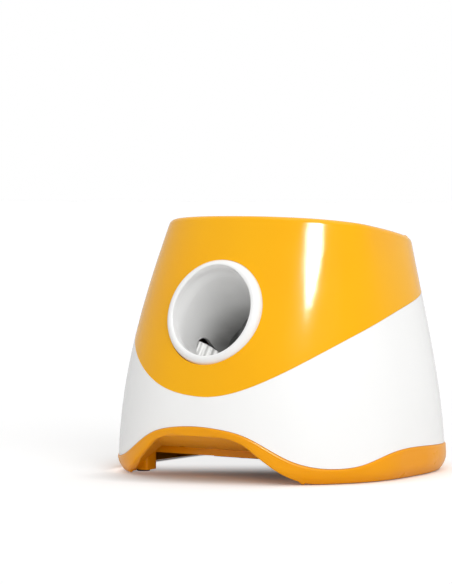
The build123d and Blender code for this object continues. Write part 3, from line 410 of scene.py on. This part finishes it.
# %% Plated and ground steel
def metal(name, colour, bloom, gloss, line=(1, 1, 18)):
    """Metal with fine lines, which are noise squeezed in one or two directions, and with cloudy
    blooms: roughness = gloss + 0.16 blooms + 0.08 lines."""
    make = Finish(name)
    lines = make.cloud(2.2, 3.0, make.spot(scale=line))
    dull = make.cloud(7, 3.0).between(0.5, 0.72)
    return make.put(
        Base_Color=make.mix(dull * 0.5 + lines * 0.12, colour, bloom),
        Metallic=1.0 - 0.15 * dull,
        Roughness=gloss + 0.16 * dull + 0.08 * lines,
        Normal=make.bump(lines, 0.006),
    )


zinc = metal("zinc_plated_screw", (186, 188, 192), (206, 203, 192), 0.3)
can_steel = metal("motor_can_steel", (176, 178, 182), (150, 152, 158), 0.32)
steel = (198, 199, 202)
ground_steel = metal("ground_shaft_steel", steel, (170, 172, 176), 0.2, line=(18, 18, 1))
nickel = metal("contact_nickel", (212, 207, 194), (178, 172, 158), 0.24)
print("metals:", [finish.name for finish in (zinc, can_steel, ground_steel, nickel)])


# %% [markdown]
# ## Cells, board and light guides
# The battery cells carry a plain film jacket with a coloured band at one end, and no print. The
# board shows its solder mask, with copper runs under it. The light guides are milky acrylic rods.
# Pictures could be wrapped round all of these. The cells repeat every 50 mm and the copper runs
# follow a grid, so a remainder and a brick pattern draw them sharply at any distance.

# %% Film jackets
def film_jacket(name):
    """Dark film, an orange band at the plus end of each cell, and bare metal past both ends. The
    place along a cell is the remainder of east plus an offset, divided by the cell's length."""
    make = Finish(name)
    east, cell = make.axis("X"), 0.05
    along = make.wire.maths("PINGPONG", east + 10.0, cell)
    place = make.wire.maths("MODULO", east + 0.1505, cell)
    band = (place > 0.034) * (place < 0.0475)
    bare = (place > 0.0478) + (place < 0.0013)
    wrinkle = make.cloud(1.6, 3.0, make.spot(scale=(0.2, 1, 1)))
    tone = make.mix(band, (40, 43, 48), (214, 138, 34))
    shade = make.mix(along * 3.0, tone, (62, 66, 72))
    return make.put(
        Base_Color=make.mix(bare, shade, (196, 197, 200)),
        Metallic=bare * 0.9,
        Roughness=0.26 + 0.1 * wrinkle,
        Normal=make.bump(wrinkle, 0.03),
        Coat_Weight=0.3,
    )


cell_film = film_jacket("cell_film_jacket")
print("made:", cell_film.name)


# %% Solder mask
def solder_mask(name):
    """Green lacquer over copper: the joints of a brick pattern are the raised runs, and the middles
    of scattered points are the soldered dots."""
    make = Finish(name)
    lean = make.spot(turn=(radians(4.5), 0, 0))
    runs = make.wire.node(
        "ShaderNodeTexBrick",
        {"offset": 0.37, "squash": 0.6},
        {"Vector": lean, "Scale": 260.0, "Mortar Size": 0.09, "Mortar Smooth": 0.2},
        output="Fac",
    )
    dots = make.grains(3.1, lean).between(0.2, 0.16)
    lacquer = make.cloud(9, 2.0)
    green = make.mix(runs, (22, 92, 52), (48, 128, 70))
    return make.put(
        Base_Color=make.mix(dots, green, (196, 176, 120)),
        Roughness=0.3 + 0.12 * lacquer,
        Metallic=dots * 0.6,
        Normal=make.bump(runs + dots, 0.02),
    )


board_green = solder_mask("solder_mask_green")
print("made:", board_green.name)


# %% Blue servo case and light guides
def milky(name, colour, deep, gloss, glow):
    """Tinted clear plastic that looks deeper in places, with faint flow lines from the mould, and
    roughness = gloss + 0.1 flow."""
    make = Finish(name)
    depth = make.cloud(6, 2.0)
    flow = make.cloud(1.8, 2.0, make.spot(scale=(1, 1, 4)))
    tone = make.mix(depth, colour, deep)
    return make.put(
        Base_Color=tone,
        Roughness=gloss + 0.1 * flow,
        Normal=make.bump(flow, 0.01),
        Coat_Weight=0.5,
        Emission_Color=tone,
        Emission_Strength=glow,
    )


servo_blue = milky("servo_blue_case", (28, 74, 150), (16, 46, 104), 0.2, 0.0)
light_guide = milky("light_guide_acrylic", (206, 236, 210), (170, 216, 176), 0.16, 0.06)
print("made:", servo_blue.name, light_guide.name)


# %% [markdown]
# ## Dressing the parts
# Every CAD part has one material slot, which could be filled by hand in the properties editor. A
# table shows at a glance what is made of the same material, and a loop over it fills the slots and
# tells which part was left out.

# %% Every part gets its finish
wardrobe = {
    amber_gloss: ["upper_shell"],
    white_gloss: ["lower_shell"],
    orange_satin: ["base_tray", "battery_door"],
    ring_gloss: ["muzzle_bezel"],
    bowl_gloss: ["hopper_bowl"],
    tube_grey: ["guide_trough", "guide_cover"],
    tyre_rubber: ["left_wheel_tyre", "right_wheel_tyre"],
    hub_nylon: ["left_wheel_hub", "right_wheel_hub"],
    ground_steel: ["left_wheel_shaft", "right_wheel_shaft"],
    can_steel: ["left_motor", "right_motor"],
    saddle_black: ["left_motor_saddle", "right_motor_saddle", "dc_socket"],
    gate_nylon: ["gate_flap"],
    servo_blue: ["gate_servo"],
    switch_black: ["ball_sensors", "push_switches", "buzzer"],
    cell_film: ["battery_cells"],
    nickel: ["battery_contacts"],
    panel_grey: ["control_panel"],
    key_silicone: ["power_button", "distance_button"],
    light_guide: ["status_lights"],
    board_green: ["main_board"],
    foot_rubber: ["foot_pads"],
    zinc: [name for name in parts if name.endswith("_screws")],
}
for finish, names in wardrobe.items():
    for name in names:
        mesh = parts[name].data
        if not mesh.materials:
            mesh.materials.append(finish)
        parts[name].material_slots[0].material = finish
dressed = [name for names in wardrobe.values() for name in names]
print("dressed:", len(dressed), "left out:", sorted(set(parts) - set(dressed)))


# %% [markdown]
# ## The ring at the mouth
# The white ring is a collar that the two halves of the launch tube end in. It could be turned on a
# lathe, or cut with a boolean, which leaves a ragged edge. The tube meets it at a steeper angle, so
# the formula turns the profile and then moves its inner points to the tube's wall.

# %% Mouth ring
def tube_wall(angle, height, bore=32.0):
    """How far the slanted tube's wall lies from the ring's axis: the positive root of a quadratic
    in the radius, as the tube's section is a circle, seen stretched and shifted by the height."""
    lean = tube_lean - mouth_lean
    level, rise = np.cos(lean), np.tan(lean)
    square = np.cos(angle) ** 2 + (np.sin(angle) * level) ** 2
    slope = -2 * height * rise * np.sin(angle) * level**2
    rest = (height * rise * level) ** 2 - bore**2
    return (-slope + np.sqrt(slope**2 - 4 * square * rest)) / (2 * square)


def ring_points(count=160):
    """The ring's profile goes round its axis. Its inner wall is a circle at the lip and the tube's
    wall at the back: radius = lip + share * (tube wall - lip), where share is a smooth step. Where
    the tube is wider, the inner wall follows it from the lip on, up to a thin wall whose corner is
    softened by the logarithm of 1 + an exponential."""
    corners = [(33.6, -10.8), (33.6, -7), (33.6, -3), (33.6, 1), (33.6, 4.0), (36.8, 4.2)]
    corners += [(40.1, 1.0), (40.1, -8.6), (41.5, -8.6), (41.5, -10.8)]
    profile = soften(corners, [0.2, 0.2, 0.2, 0.2, 1.1, 2.6, 2.0, 0.1, 0.3, 0.3], 6)
    round_lip, whole_tube = 2.5, -10.8
    inner_side, softened_from, thin_wall = 38.5, 38.0, 39.2
    angle, spoke = spokes(mouth_axis, count)
    radius, height = profile[:, :1], profile[:, 1:]
    wall = tube_wall(angle, height)
    share = np.clip((round_lip - height) / (round_lip - whole_tube), 0, 1)
    share = share * share * (3 - 2 * share)
    narrow = radius + share * np.minimum(wall - radius, 0)
    room = np.log(np.exp((radius - softened_from) * 2) + 1) / 2
    wide = np.maximum(narrow, np.minimum(wall, thin_wall - room))
    radius = np.where(radius < inner_side, wide, radius)
    points = mouth + radius[..., None] * spoke + height[..., None] * mouth_axis
    return points.reshape(-1, 3), quads(len(profile), count, closed=True)


mouth_ring = piece("mouth_ring", [ring_points()], ring_gloss, "body")
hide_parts("muzzle_bezel")


# %% [markdown]
# ## Ribbed tyres
# Soft ribbed tyres grip the ball. The ribs could be thirty-six copies of a small block. A single
# closed skin with its radius raised and lowered by a wave has no joints between ribs and tyre, and
# the corners of the ribs come out round, as rubber does from a mould.

# %% Launch wheels
wheel_axis = np.array([0, 0.601815, 0.798636])
tyre_corners = [(26.05, -6.9), (29.9, -6.9), (29.9, 6.5), (26.05, 6.9)]
tyre_profile = soften(tyre_corners, [0.4, 1.6, 2.6, 0.4], 6)


def tyre_points(side, ribs=36, valley=28.4, count=360):
    """A softened ring section turned round the shaft. Outside, radius = valley + rib height times a
    wave, which is the cosine of ribs times the angle, steepened and rounded off."""
    angle, spoke = spokes(wheel_axis, count)
    wave = np.clip(0.5 + 0.85 * np.cos(ribs * angle), 0, 1)
    wave = wave * wave * (3 - 2 * wave)
    radius, height = tyre_profile[:, :1], tyre_profile[:, 1:]
    ribbed = np.where(radius > valley, valley + (radius - valley) * wave, radius)
    centre = np.array([side * 51.0, -43.796, 79.599])
    points = centre + ribbed[..., None] * spoke + height[..., None] * wheel_axis
    return points.reshape(-1, 3), quads(len(tyre_profile), count, closed=True)


for side, name in ((-1, "left"), (1, "right")):
    shape = [tyre_points(side)]
    tyre = piece(f"{name}_ribbed_tyre", shape, tyre_rubber, f"{name}_wheel")
    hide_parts(f"{name}_wheel_tyre")


# %% [markdown]
# ## Feet
# Four rubber pads keep the launcher from creeping when it throws. Plain discs would do, but real
# pads are dished, so that only their edge and a small ring grip. One turned profile gives all of
# that, and four copies of its points make one piece.

# %% Rubber pads
foot_places = [(-77.0, -69.0), (77.0, -69.0), (-67.0, 54.0), (67.0, 54.0)]
pad_corners = [(0, 0.5), (2.2, 0.5), (2.5, 0.15), (3.1, 0.15), (3.4, 0.6)]
pad_corners += [(3.9, 0.6), (4.2, 0.0), (5, 0.1), (5, 1.4), (0, 1.4)]
pad_profile = soften(pad_corners, 0.25, 3, closed=False)
pads = [turned(pad_profile, (x, y, 0), (0, 0, 1.0), 40, False) for x, y in foot_places]
rubber_pads = piece("rubber_pads", pads, foot_rubber, "body")
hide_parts("foot_pads")


# %% [markdown]
# ## Keys, light guides and inlet
# On the back sit two silicone keys with dished tops, three light guides and the inlet for a mains
# adapter. They could be stacked from cylinders with bevels. All are turned shapes, so one profile
# each is enough, and its softened corners catch the light.

# %% The panel's own directions
panel_lean = radians(4.5)
panel_out = np.array([0, np.cos(panel_lean), np.sin(panel_lean)])
panel_up = np.array([0, -np.sin(panel_lean), np.cos(panel_lean)])
panel_right = -EAST
panel_middle = np.array([0, 100.8, 96.0])


def on_panel(right, up, out=0.0):
    """A point of the panel: its middle plus so much to the right, up and outwards, as seen from
    behind."""
    return panel_middle + right * panel_right + up * panel_up + out * panel_out


# %% Two keys
key_corners = [(0, -5.7), (2, -5.7), (2, -3.4), (7.5, -3.4), (7.5, -2.2)]
key_corners += [(6, -2.2), (6, 3.5), (4.9, 3.5), (0, 3.0)]
key_profile = soften(key_corners, [0, 0.4, 0.2, 0.3, 0.3, 0.2, 0.8, 0.9, 0], 5, closed=False)
key_right = {"power": 24.0, "distance": -24.0}
for name, right in key_right.items():
    cap = turned(key_profile, on_panel(right, 0), panel_out, 72, False)
    key = piece(f"{name}_key_cap", [cap], key_silicone, f"{name}_key")
    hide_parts(f"{name}_button")

# %% Light guides with domed ends
guide_corners = [(0, -12.0), (1.75, -12.0), (1.75, 2.35), (1.0, 2.75), (0, 2.8)]
guide_profile = soften(guide_corners, [0, 0.2, 0.3, 0.5, 0], 5, closed=False)
guide_right = (-6.0, 0.0, 6.0)
guides = [turned(guide_profile, on_panel(right, 0), panel_out, 32, False) for right in guide_right]
light_guides = piece("light_guides", guides, light_guide, "body")
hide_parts("status_lights")

# %% Inlet for the mains adapter
inlet_place = np.array([-46.0, 104.8, 50.0])
inlet_out = (0, 1.0, 0)
collar_corners = [(2.8, 0.9), (3.6, 1.5), (6.2, 1.5), (6.7, 1.0), (6.7, 0), (5, 0), (5, -14)]
collar = soften(collar_corners, 0.35, 4, closed=False)
back, well = [(5, -14), (0, -14)], [(0, -10), (2.8, -10), (2.8, 0.9)]
housing = [turned(line, inlet_place, inlet_out, 64, False) for line in (collar, back, well)]
pin_corners = [(0, -1.4), (0.95, -1.4), (0.95, -10), (0, -10)]
pin = turned(soften(pin_corners, [0, 0.5, 0, 0], 4, False), inlet_place, inlet_out, 32, False)
inlet = piece("mains_inlet", housing, saddle_black, "body")
piece("mains_inlet_pin", [pin], nickel, "body")
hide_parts("dc_socket")


# %% [markdown]
# ## Raised marks and beads
# Some lines stand a little proud: the marks on the keys, the frame of the panel and the grips on
# the battery door. Each is a half-round profile carried along a path. A curve object with a bevel
# would do the same, but the profile here leans with the surface it sits on.

# %% Half-round beads along a path
def bead(path, outward, width, height, closed=False, sink=0.25, steps=8):
    """Half a flattened circle carried along a path: half the width times cosine sideways, plus the
    height times sine outwards. Open ends shrink to a point, and the foot goes below the path."""
    path = np.asarray(path, float)
    outward = np.broadcast_to(np.asarray(outward, float), path.shape)
    run = np.roll(path, -1, axis=0) - np.roll(path, 1, axis=0)
    run = unit(run if closed else np.gradient(path, axis=0))
    side = unit(np.cross(run, outward))
    angle = np.linspace(0, np.pi, steps)
    across = np.r_[np.cos(angle), -1.0, 1.0] * width / 2
    lift = np.r_[np.sin(angle) * height, -sink, -sink]
    size, tip, near_tip = np.ones(len(path)), 0.02, 0.75
    if not closed:
        size[[0, -1]], size[[1, -2]] = tip, near_tip
    section = across[:, None] * side[:, None] + lift[:, None] * outward[:, None]
    points = path[:, None] + size[:, None, None] * section
    return points.reshape(-1, 3), quads(len(path), len(across), closed)


def arc(radius, start, end, count=28):
    """Right and up of the points of a circle's arc, in degrees."""
    angle = np.radians(np.linspace(start, end, count))
    return np.stack([radius * np.cos(angle), radius * np.sin(angle)], axis=1)


def rounded_frame(width, height, corner, count=12):
    """Right and up of a rectangle's outline whose four corners are quarter circles."""
    quarter = np.radians(np.linspace(0, 90, count))
    turns = np.concatenate([quarter + np.pi / 2 * step for step in range(4)])
    signs = np.repeat([[1, 1], [-1, 1], [-1, -1], [1, -1]], count, axis=0)
    middles = signs * [width / 2 - corner, height / 2 - corner]
    return middles + corner * np.stack([np.cos(turns), np.sin(turns)], axis=1)


# %% Marks on the keys and the panel's frame
key_face, panel_face, tick_top = 3.05, 2.0, -5.2


def upright(right, low, high):
    """Right and up of eight points of an upright line."""
    return np.stack([np.full(8, right), np.linspace(low, high, 8)], axis=1)


def panel_bead(flat, right, out, width, height, closed=False):
    """A bead along a flat path that is laid on the panel or a key, round a middle to the right."""
    path = np.stack([on_panel(right + x, y, out) for x, y in flat])
    return bead(path, panel_out, width, height, closed)


power_lines = [arc(2.3, 125, 415), upright(0, 0.6, 3.0)]
power_mark = [panel_bead(line, key_right["power"], key_face, 0.55, 0.3) for line in power_lines]
piece("power_mark", power_mark, mark_white, "power_key")
waves = [arc(reach, 52, 128) - [0, 2.4] for reach in (1.6, 3.2, 4.8)]
range_mark = [panel_bead(wave, key_right["distance"], key_face, 0.5, 0.3) for wave in waves]
piece("distance_mark", range_mark, mark_white, "distance_key")
frame_bead = panel_bead(rounded_frame(73.0, 25.0, 4.8), 0.0, panel_face, 0.8, 0.3, closed=True)
piece("panel_frame", [frame_bead], panel_grey, "body")
tick_feet = zip(guide_right, (tick_top - length for length in (1.6, 2.8, 4.0)))
tick_lines = [upright(right, foot, tick_top) for right, foot in tick_feet]
ticks = [panel_bead(line, 0.0, panel_face, 0.7, 0.25) for line in tick_lines]
piece("range_ticks", ticks, mark_white, "body")


# %% [markdown]
# ## The rolled edge of the base
# The orange base is soft to the hand: its skirt swells a little past the white shell, is drawn in
# at the floor, turns under the arch and hangs as a lip beside it. A bevel on the CAD mesh would
# have to fight with its loose triangles, so the roll is a skin of its own. It needs the body's
# outside, so that comes first: four rounded outlines, blended by height. Next come its two edges,
# each a smooth curve through a few points, and last the rows of points between them.

# %% The body as a formula
shoulder_y, body_height, rim_slope = -5.75, 185.0, -0.134
front_exponent, back_exponent = 2.2, 2.8
# Half the width, reach to the front and reach to the back of four outlines, from the floor up
sections = [[117.7, 108.8, 119.5], [113.7, 102.0, 114.8], [102.3, 82.0, 109.9], [85.7, 55.2, 111.9]]
half_width, front_reach, back_reach = np.array(sections).T[..., None]
shares = np.array([0, 1 / 3, 2 / 3, 1])


def body_surface(angle, share):
    """A point of the outside at an angle from the front and a share of the height. Each outline is
    an ellipse with its exponent changed, and the four are blended by the cubic through them."""
    side, ahead = np.sin(angle), np.cos(angle)
    power = 2 / np.where(ahead > 0, front_exponent, back_exponent)
    factors = [[(share - b) / (a - b) for b in shares if b != a] for a in shares]
    blend = np.stack([np.prod(factor, axis=0) for factor in factors])
    x = half_width * np.sign(side) * np.abs(side) ** power
    reach = np.where(ahead > 0, front_reach, back_reach)
    y = -reach * np.sign(ahead) * np.abs(ahead) ** power
    z = body_height * shares[:, None] + rim_slope * shares[:, None] * y
    east, north, height = ((blend * line).sum(0) for line in (x, y, z))
    return np.stack([east, shoulder_y + north, height], axis=-1)


foot = body_surface(np.array([0.0, np.pi / 2, np.pi]), np.zeros(3)).round(1)
print("at the floor, mm: front", foot[0, 1], "side", foot[1, 0], "back", foot[2, 1])


# %% The wavy edge as a periodic spline
# Degrees from the front, and height
wave_line = [(0, 40), (12, 38.4), (22, 33.8), (38, 17.7), (46, 12.9), (55, 11.3)]
wave_line += [(65, 13.2), (75, 18.6), (85, 21.9), (95, 22.4), (115, 20.8), (180, 20.8)]
wave_knots = np.array(wave_line)


def periodic_spline(knots, values, period, at):
    """The smooth curve through points that repeats: its bends at the knots solve one linear system,
    and between two knots it is the cubic with those bends at its ends."""
    gap = np.diff(np.r_[knots, knots[0] + period])
    rise = (np.roll(values, -1) - values) / gap
    size = len(knots)
    matrix = np.zeros((size, size))
    order = np.arange(size)
    matrix[order, order] = 2 * (np.roll(gap, 1) + gap)
    matrix[order, (order + 1) % size] += gap
    matrix[order, (order - 1) % size] += np.roll(gap, 1)
    bend = np.linalg.solve(matrix, 6 * (rise - np.roll(rise, 1)))
    place = np.mod(at - knots[0], period) + knots[0]
    left = np.clip(np.searchsorted(knots, place, side="right") - 1, 0, size - 1)
    right = (left + 1) % size
    step, width = place - knots[left], gap[left]
    rest = width - step
    curve = (bend[left] * rest**3 + bend[right] * step**3) / (6 * width)
    curve = curve + (values[left] / width - bend[left] * width / 6) * rest
    return curve + (values[right] / width - bend[right] * width / 6) * step


def mirrored_spline(knots, period, at):
    """The spline through knots of half a period and the same knots mirrored for the other half."""
    places = np.r_[knots[:, 0], period - knots[-2:0:-1, 0]]
    heights = np.r_[knots[:, 1], knots[-2:0:-1, 1]]
    return periodic_spline(places, heights, period, at)


def wave_height(direction):
    """Height of the base's upper edge in a direction, in radians from the front."""
    return mirrored_spline(wave_knots, 360.0, np.degrees(direction) % 360)


# %% Where the arch at the front lies
arch_side, arch_back = 80, -60


def circle_height(across, first, top, last):
    """The height of the circle through three (across, height) points, on the middle point's side:
    middle + or - the root of radius squared minus distance squared."""
    (x0, z0), (x1, z1), (x2, z2) = first, top, last
    matrix = 2 * np.array([[x1 - x0, z1 - z0], [x2 - x0, z2 - z0]])
    sums = np.array([x1**2 + z1**2 - x0**2 - z0**2, x2**2 + z2**2 - x0**2 - z0**2])
    middle_x, middle_z = np.linalg.solve(matrix, sums)
    radius = np.hypot(x0 - middle_x, z0 - middle_z)
    side = np.sign(z1 - middle_z)
    return middle_z + side * np.sqrt(np.maximum(radius**2 - (across - middle_x) ** 2, 0))


def vault_height(x, y):
    """The roof of the space under the arch: the lower of an arch across and a ceiling that falls
    towards the back."""
    arch = circle_height(x, (-arch_side, -1), (0, 36), (arch_side, -1))
    ceiling = circle_height(y, (-118, 36), (-98, 27.6), (-76, 20.5))
    under_arch = (y < arch_back) & (np.abs(x) < arch_side)
    return np.where(under_arch, np.minimum(arch, ceiling), -1)


# %% Where the rolled lip hangs below the vault
# Distance from the middle, and height
lip_line = [(0, 36), (15, 35), (30, 31.6), (40, 27.7), (47.6, 21.9), (56, 15.5), (63.7, 9.7)]
lip_line += [(71.2, 5.3), (78.2, 2.4), (86, 0.8), (93, 0.5), (100, 0.5)]
lip_knots = np.array(lip_line)


def lip_height(x):
    """Height of the lip's lower edge over the place across, level past the arch."""
    half = lip_knots[-1, 0]
    return mirrored_spline(lip_knots, 2 * half, np.minimum(np.abs(x), half))


# %% The rolled edge of the base
skirt_foot, tuck, tuck_height = 0.8, 4.8, 12.0
widest, deepest = 117.68, 113.05
box_low, box_high = [-117.72, -113.14, 0.2], [117.72, 113.12, 60]
least_proud, more_proud, half_way = 0.12, 0.9, 0.35
top_radius, top_sunk, arch_radius, arch_proud = 1.6, 0.45, 4.0, 0.15
overlap, foot_share, skin_depth = 0.05, 0.45, 1.3
# How far inwards the lip's underside goes, row by row, and how far it hangs below the vault
underside = [(0.5, 0.42), (1.2, 0.45), (2.2, 0.36), (3.3, 0.2), (4.4, -0.3), (4.4, -1.0)]


def skin(angle, height, steps=8):
    """Points of the outside at an angle and a height, and the directions that look out of it there.
    The share of the height is found step by step: share + missing height / body height."""
    share = height / body_height
    for _ in range(steps):
        share = share + (height - body_surface(angle, share)[:, 2]) / body_height
    ahead = body_surface(angle + 1e-3, share) - body_surface(angle - 1e-3, share)
    upwards = body_surface(angle, share + 1e-3) - body_surface(angle, share - 1e-3)
    return body_surface(angle, share), unit(np.cross(ahead, upwards))


def tuck_at(height, power=1.0):
    """How far the skirt is drawn in at a height: tuck times a power of the share that is left."""
    return tuck * (1 - np.clip((height - skirt_foot) / tuck_height, 0, 1)) ** power


def round_off(distance, radius):
    """How far a rounded edge falls back: 1 - the root of 1 - (1 - distance / radius) squared."""
    return 1 - np.sqrt(1 - (1 - np.clip(distance / radius, 0, 1)) ** 2)


def roll_edges(angle):
    """Heights of the roll's lower and upper edge at each angle. Both depend on the place, and the
    place leans with the height, so each is found by going back and forth twenty times."""
    low, high = np.full(len(angle), 12.0), np.full(len(angle), 20.0)
    for _ in range(20):
        x, y, _ = skin(angle, low)[0].T
        roof = np.where(np.abs(x) < arch_side, vault_height(x, y), 40)
        low = np.where(y < arch_back, np.minimum(roof, lip_height(x)), skirt_foot)
        low = np.maximum(low, skirt_foot)
        x, y, _ = skin(angle, high)[0].T
        high = wave_height(np.arctan2(x, shoulder_y - y))
    return low, high


def roll_points(count=640):
    """Rows of a closed skin round the base. Its outside swells by proud = least + more * room /
    (room + half way), where room is a softened distance to the body's widest place. It is drawn in
    towards the floor, rounds off at both edges and turns under the arch, and two rows inside the
    body close it."""
    angle = np.linspace(0, 2 * np.pi, count, endpoint=False) + np.pi / count
    low, high = roll_edges(angle)
    middle, _ = skin(angle, np.full(count, 16.0))
    room = np.minimum(widest - np.abs(middle[:, 0]), deepest - middle[:, 1])
    room = np.log1p(np.exp(np.clip(room, -2, 8) * 6)) / 6
    proud = least_proud + more_proud * room / (room + half_way)
    arched = np.clip((low - 2) / 6, 0, 1)
    rows = []
    for step in np.linspace(0, 1, 15):
        height = high - overlap + (low - high) * (1 - np.cos(np.pi * step)) / 2
        point, outward = skin(angle, height)
        swell = proud - (proud + top_sunk) * round_off(high - height, top_radius)
        swell = swell - tuck_at(height, 2.2)
        swell = swell - arched * (proud - arch_proud) * round_off(height - low, arch_radius)
        rows.append(point + swell[:, None] * outward)
    point, outward = skin(angle, low)
    flat = unit(outward * [1, 1, 0])
    for inward, drop in underside:
        inward = np.where(arched > 0, inward, inward * foot_share)
        under = point - (tuck_at(low) + inward)[:, None] * flat
        roof = np.maximum(vault_height(under[:, 0], under[:, 1]), skirt_foot)
        under[:, 2] = np.where(arched > 0, np.minimum(roof, low), low) - drop
        rows.append(under)
    for height in (low + 1.6, high - 1.6):
        point, outward = skin(angle, np.maximum(height, low + 0.8))
        rows.append(point - (skin_depth + tuck_at(point[:, 2]))[:, None] * outward)
    print("roll's top mm:", high.min().round(1), "to", high.max().round(1))
    print("roll stands proud by mm:", proud.min().round(2), "to", proud.max().round(2))
    points = np.clip(np.concatenate(rows), box_low, box_high)
    return points, quads(len(rows), count, closed=True)


piece("base_roll", [roll_points()], orange_satin, "body")


# %% [markdown]
# ## Grips on the battery door
# The door on the underside is lifted with a thumb on five short ridges. They could be cut out of
# the door, but beads use the half-round profile that is ready, and their ends shrink away softly.

# %% Door grips
door_down, door_face, ridge_steps = np.array([0, 0, -1.0]), 7.0, 24
ridges = []
for place in np.linspace(62.0, 70.0, 5):
    line = [np.linspace(-16, 16, ridge_steps), np.full(ridge_steps, place)]
    line.append(np.full(ridge_steps, door_face))
    ridges.append(bead(np.stack(line, axis=1), door_down, 1.1, 0.5))
piece("door_grips", ridges, orange_satin, "body")


# %% [markdown]
# ## Floor and sky
# The launcher stands on white paper under a large soft sky. A lamp strong enough to turn the paper
# white would bleach the shells. So the paper glows a little, for the camera only, and more under
# the body, where this painted light covers the body's shade. A soft patch before the arch is a
# painted shadow: darker for the camera, where the body comes close, and lighter for other rays,
# so that it throws more bounce light up at the body.

# %% White paper floor
paper = bpy.data.materials.new("white_paper_floor")
paper.use_nodes = True
tree = paper.node_tree
wire = Wire(tree)
tree.nodes.remove(tree.nodes["Principled BSDF"])
camera_ray = wire.node("ShaderNodeLightPath", output="Is Camera Ray")
place = wire.node("ShaderNodeTexCoord", output="Object")
across, back = (wire.node("ShaderNodeSeparateXYZ", None, {"Vector": place}, axis) for axis in "XY")

# Under the body: 1.1 minus the fourth powers of two distances, in shares of the body's reach
body_reach = 0.108
left, rear = across * (1 / body_reach), (back + 0.004) * (1 / body_reach)
inside = (1.1 - left * left * left * left - rear * rear * rear * rear).between(0, 0.3)

# Deep runs away from the camera, and wide to its right
away, beside = 0.83, 0.557
deep, wide = back * away - across * beside, back * beside + across * away
# Painted light: where the paper lies under the body, it glows for the camera over its real shade
under = deep.between(-0.045, 0.04) * inside

# The painted contact shadow: 1 minus the squares of two distances, in shares of its depth and width
patch_depth, patch_width = 0.075, 0.13
reach, spread = (deep + 0.053) * (1 / patch_depth), (wide + 0.045) * (1 / patch_width)
painted_contact_shadow = (1 - reach * reach - spread * spread).between(0, 1)

# The camera sees a painted shadow at the patch; other rays see the paper lighter there, which is
# painted bounce light onto the body
seen_shade = camera_ray * (0.28 - 0.45 * painted_contact_shadow * painted_contact_shadow)
shade = 0.72 + seen_shade + (1 - camera_ray) * painted_contact_shadow * 0.26
# 0.8 * under is painted light under the body; 0.05 is an even lift of the whole paper
glow = camera_ray * (0.05 + 0.8 * under)
matt = wire.node("ShaderNodeBsdfDiffuse", None, {"Color": shade})
lift = wire.node("ShaderNodeEmission", None, {"Color": (1, 1, 1, 1), "Strength": glow})
sheet = wire.node("ShaderNodeAddShader", None, {0: matt, 1: lift})
tree.links.new(sheet.socket, tree.nodes["Material Output"].inputs["Surface"])

floor_mesh = bpy.data.meshes.new("paper_floor")
far = 40
corners = [(-far, -far, 0), (far, -far, 0), (far, far, 0), (-far, far, 0)]
floor_mesh.from_pydata(corners, [], [(0, 1, 2, 3)])
floor_mesh.materials.append(paper)
floor = in_scene("paper_floor", floor_mesh)
print("floor metres across:", 2 * far)

# %% Soft sky
sky = bpy.data.worlds.new("soft_sky")
sky.use_nodes = True
bpy.context.scene.world = sky
tree = sky.node_tree
wire = Wire(tree)
names = ("Is Camera Ray", "Is Glossy Ray", "Is Transmission Ray")
camera_ray, glossy_ray, through_ray = (wire.node("ShaderNodeLightPath", output=n) for n in names)
seen = wire.maths("MAXIMUM", camera_ray, wire.maths("MAXIMUM", glossy_ray * 0.3, through_ray))
sky_level = 0.56
strength = sky_level + seen * (1 - sky_level)
tree.links.new(strength.socket, tree.nodes["Background"].inputs["Strength"])
tree.nodes["Background"].inputs["Color"].default_value = (1, 1, 1, 1)
print("sky lights at", sky_level, "and looks like 1")


# %% [markdown]
# ## Lamps and camera
# Two windows, one above the other, draw the bright stripe down the amber shell, and they show only
# in gloss. A wide lamp from the front right models the form without a highlight of its own, and an
# overhead one grounds it with a soft shadow. One strong lamp could do all of this, but then the
# stripe and the shadow couldn't be set apart. A long lens keeps the body's sides nearly parallel.

# %% Lamps
body_spot = (0.066, -0.055, 0.16)
window_distance, window_roll = 1.5, radians(34)


def lamp(name, kind, place, energy, target=body_spot, roll=0.0, **settings):
    """A lamp that looks from its place at a target, both in metres, rolled about that line."""
    data = bpy.data.lights.new(name, kind)
    data.energy = energy
    for key, value in settings.items():
        setattr(data, key, value)
    made = in_scene(name, data)
    look = Vector(target) - Vector(place)
    turn = look.to_track_quat("-Z", "Y") @ Quaternion((0, 0, 1), roll)
    made.matrix_world = Matrix.Translation(place) @ turn.to_matrix().to_4x4()
    made.visible_camera = False
    print(name, kind, "energy", energy, "at", tuple(round(value, 2) for value in place))
    return made


def from_body(side, rise, distance):
    """A place at so many degrees to the side of the front and above body_spot's level, and so many
    metres from it: distance times the cosines and sines of the two angles."""
    side, rise = radians(side), radians(rise)
    level = distance * np.cos(rise)
    steps = (level * np.sin(side), -level * np.cos(side), distance * np.sin(rise))
    return Vector([start + step for start, step in zip(body_spot, steps)])


lamp("overhead", "SUN", (0.2, 0.3, 2.0), 0.7, target=(0, 0, 0), angle=radians(60))
sun = lamp("front_right", "SUN", from_body(50, 28, 2.0), 1.3, angle=radians(50))
sun.visible_glossy = False
# Name, degrees to the side and up, energy, width and height in metres
windows = [("long_window", 37.8, 44.0, 36.0, 0.36, 0.5)]
windows += [("low_window", 41.0, 38.5, 10.0, 0.2, 0.25)]
for name, side, rise, energy, width, height in windows:
    size = {"shape": "RECTANGLE", "size": width, "size_y": height}
    place = from_body(side, rise, window_distance)
    lamp(name, "AREA", place, energy, roll=window_roll, **size).visible_diffuse = False

# %% Camera
camera_data = bpy.data.cameras.new("camera")
camera_data.lens = 164.36
camera_data.sensor_width = 36.0
camera = in_scene("camera", camera_data)
camera.location = (1.0903, -1.6960, 0.2106)
camera_drop, camera_side = 2.177, 33.88
camera.rotation_euler = (radians(90 - camera_drop), 0, radians(camera_side))
bpy.context.scene.camera = camera
bpy.context.scene.view_settings.view_transform = "Standard"
print("camera metres from the middle:", round(camera.location.length, 2))
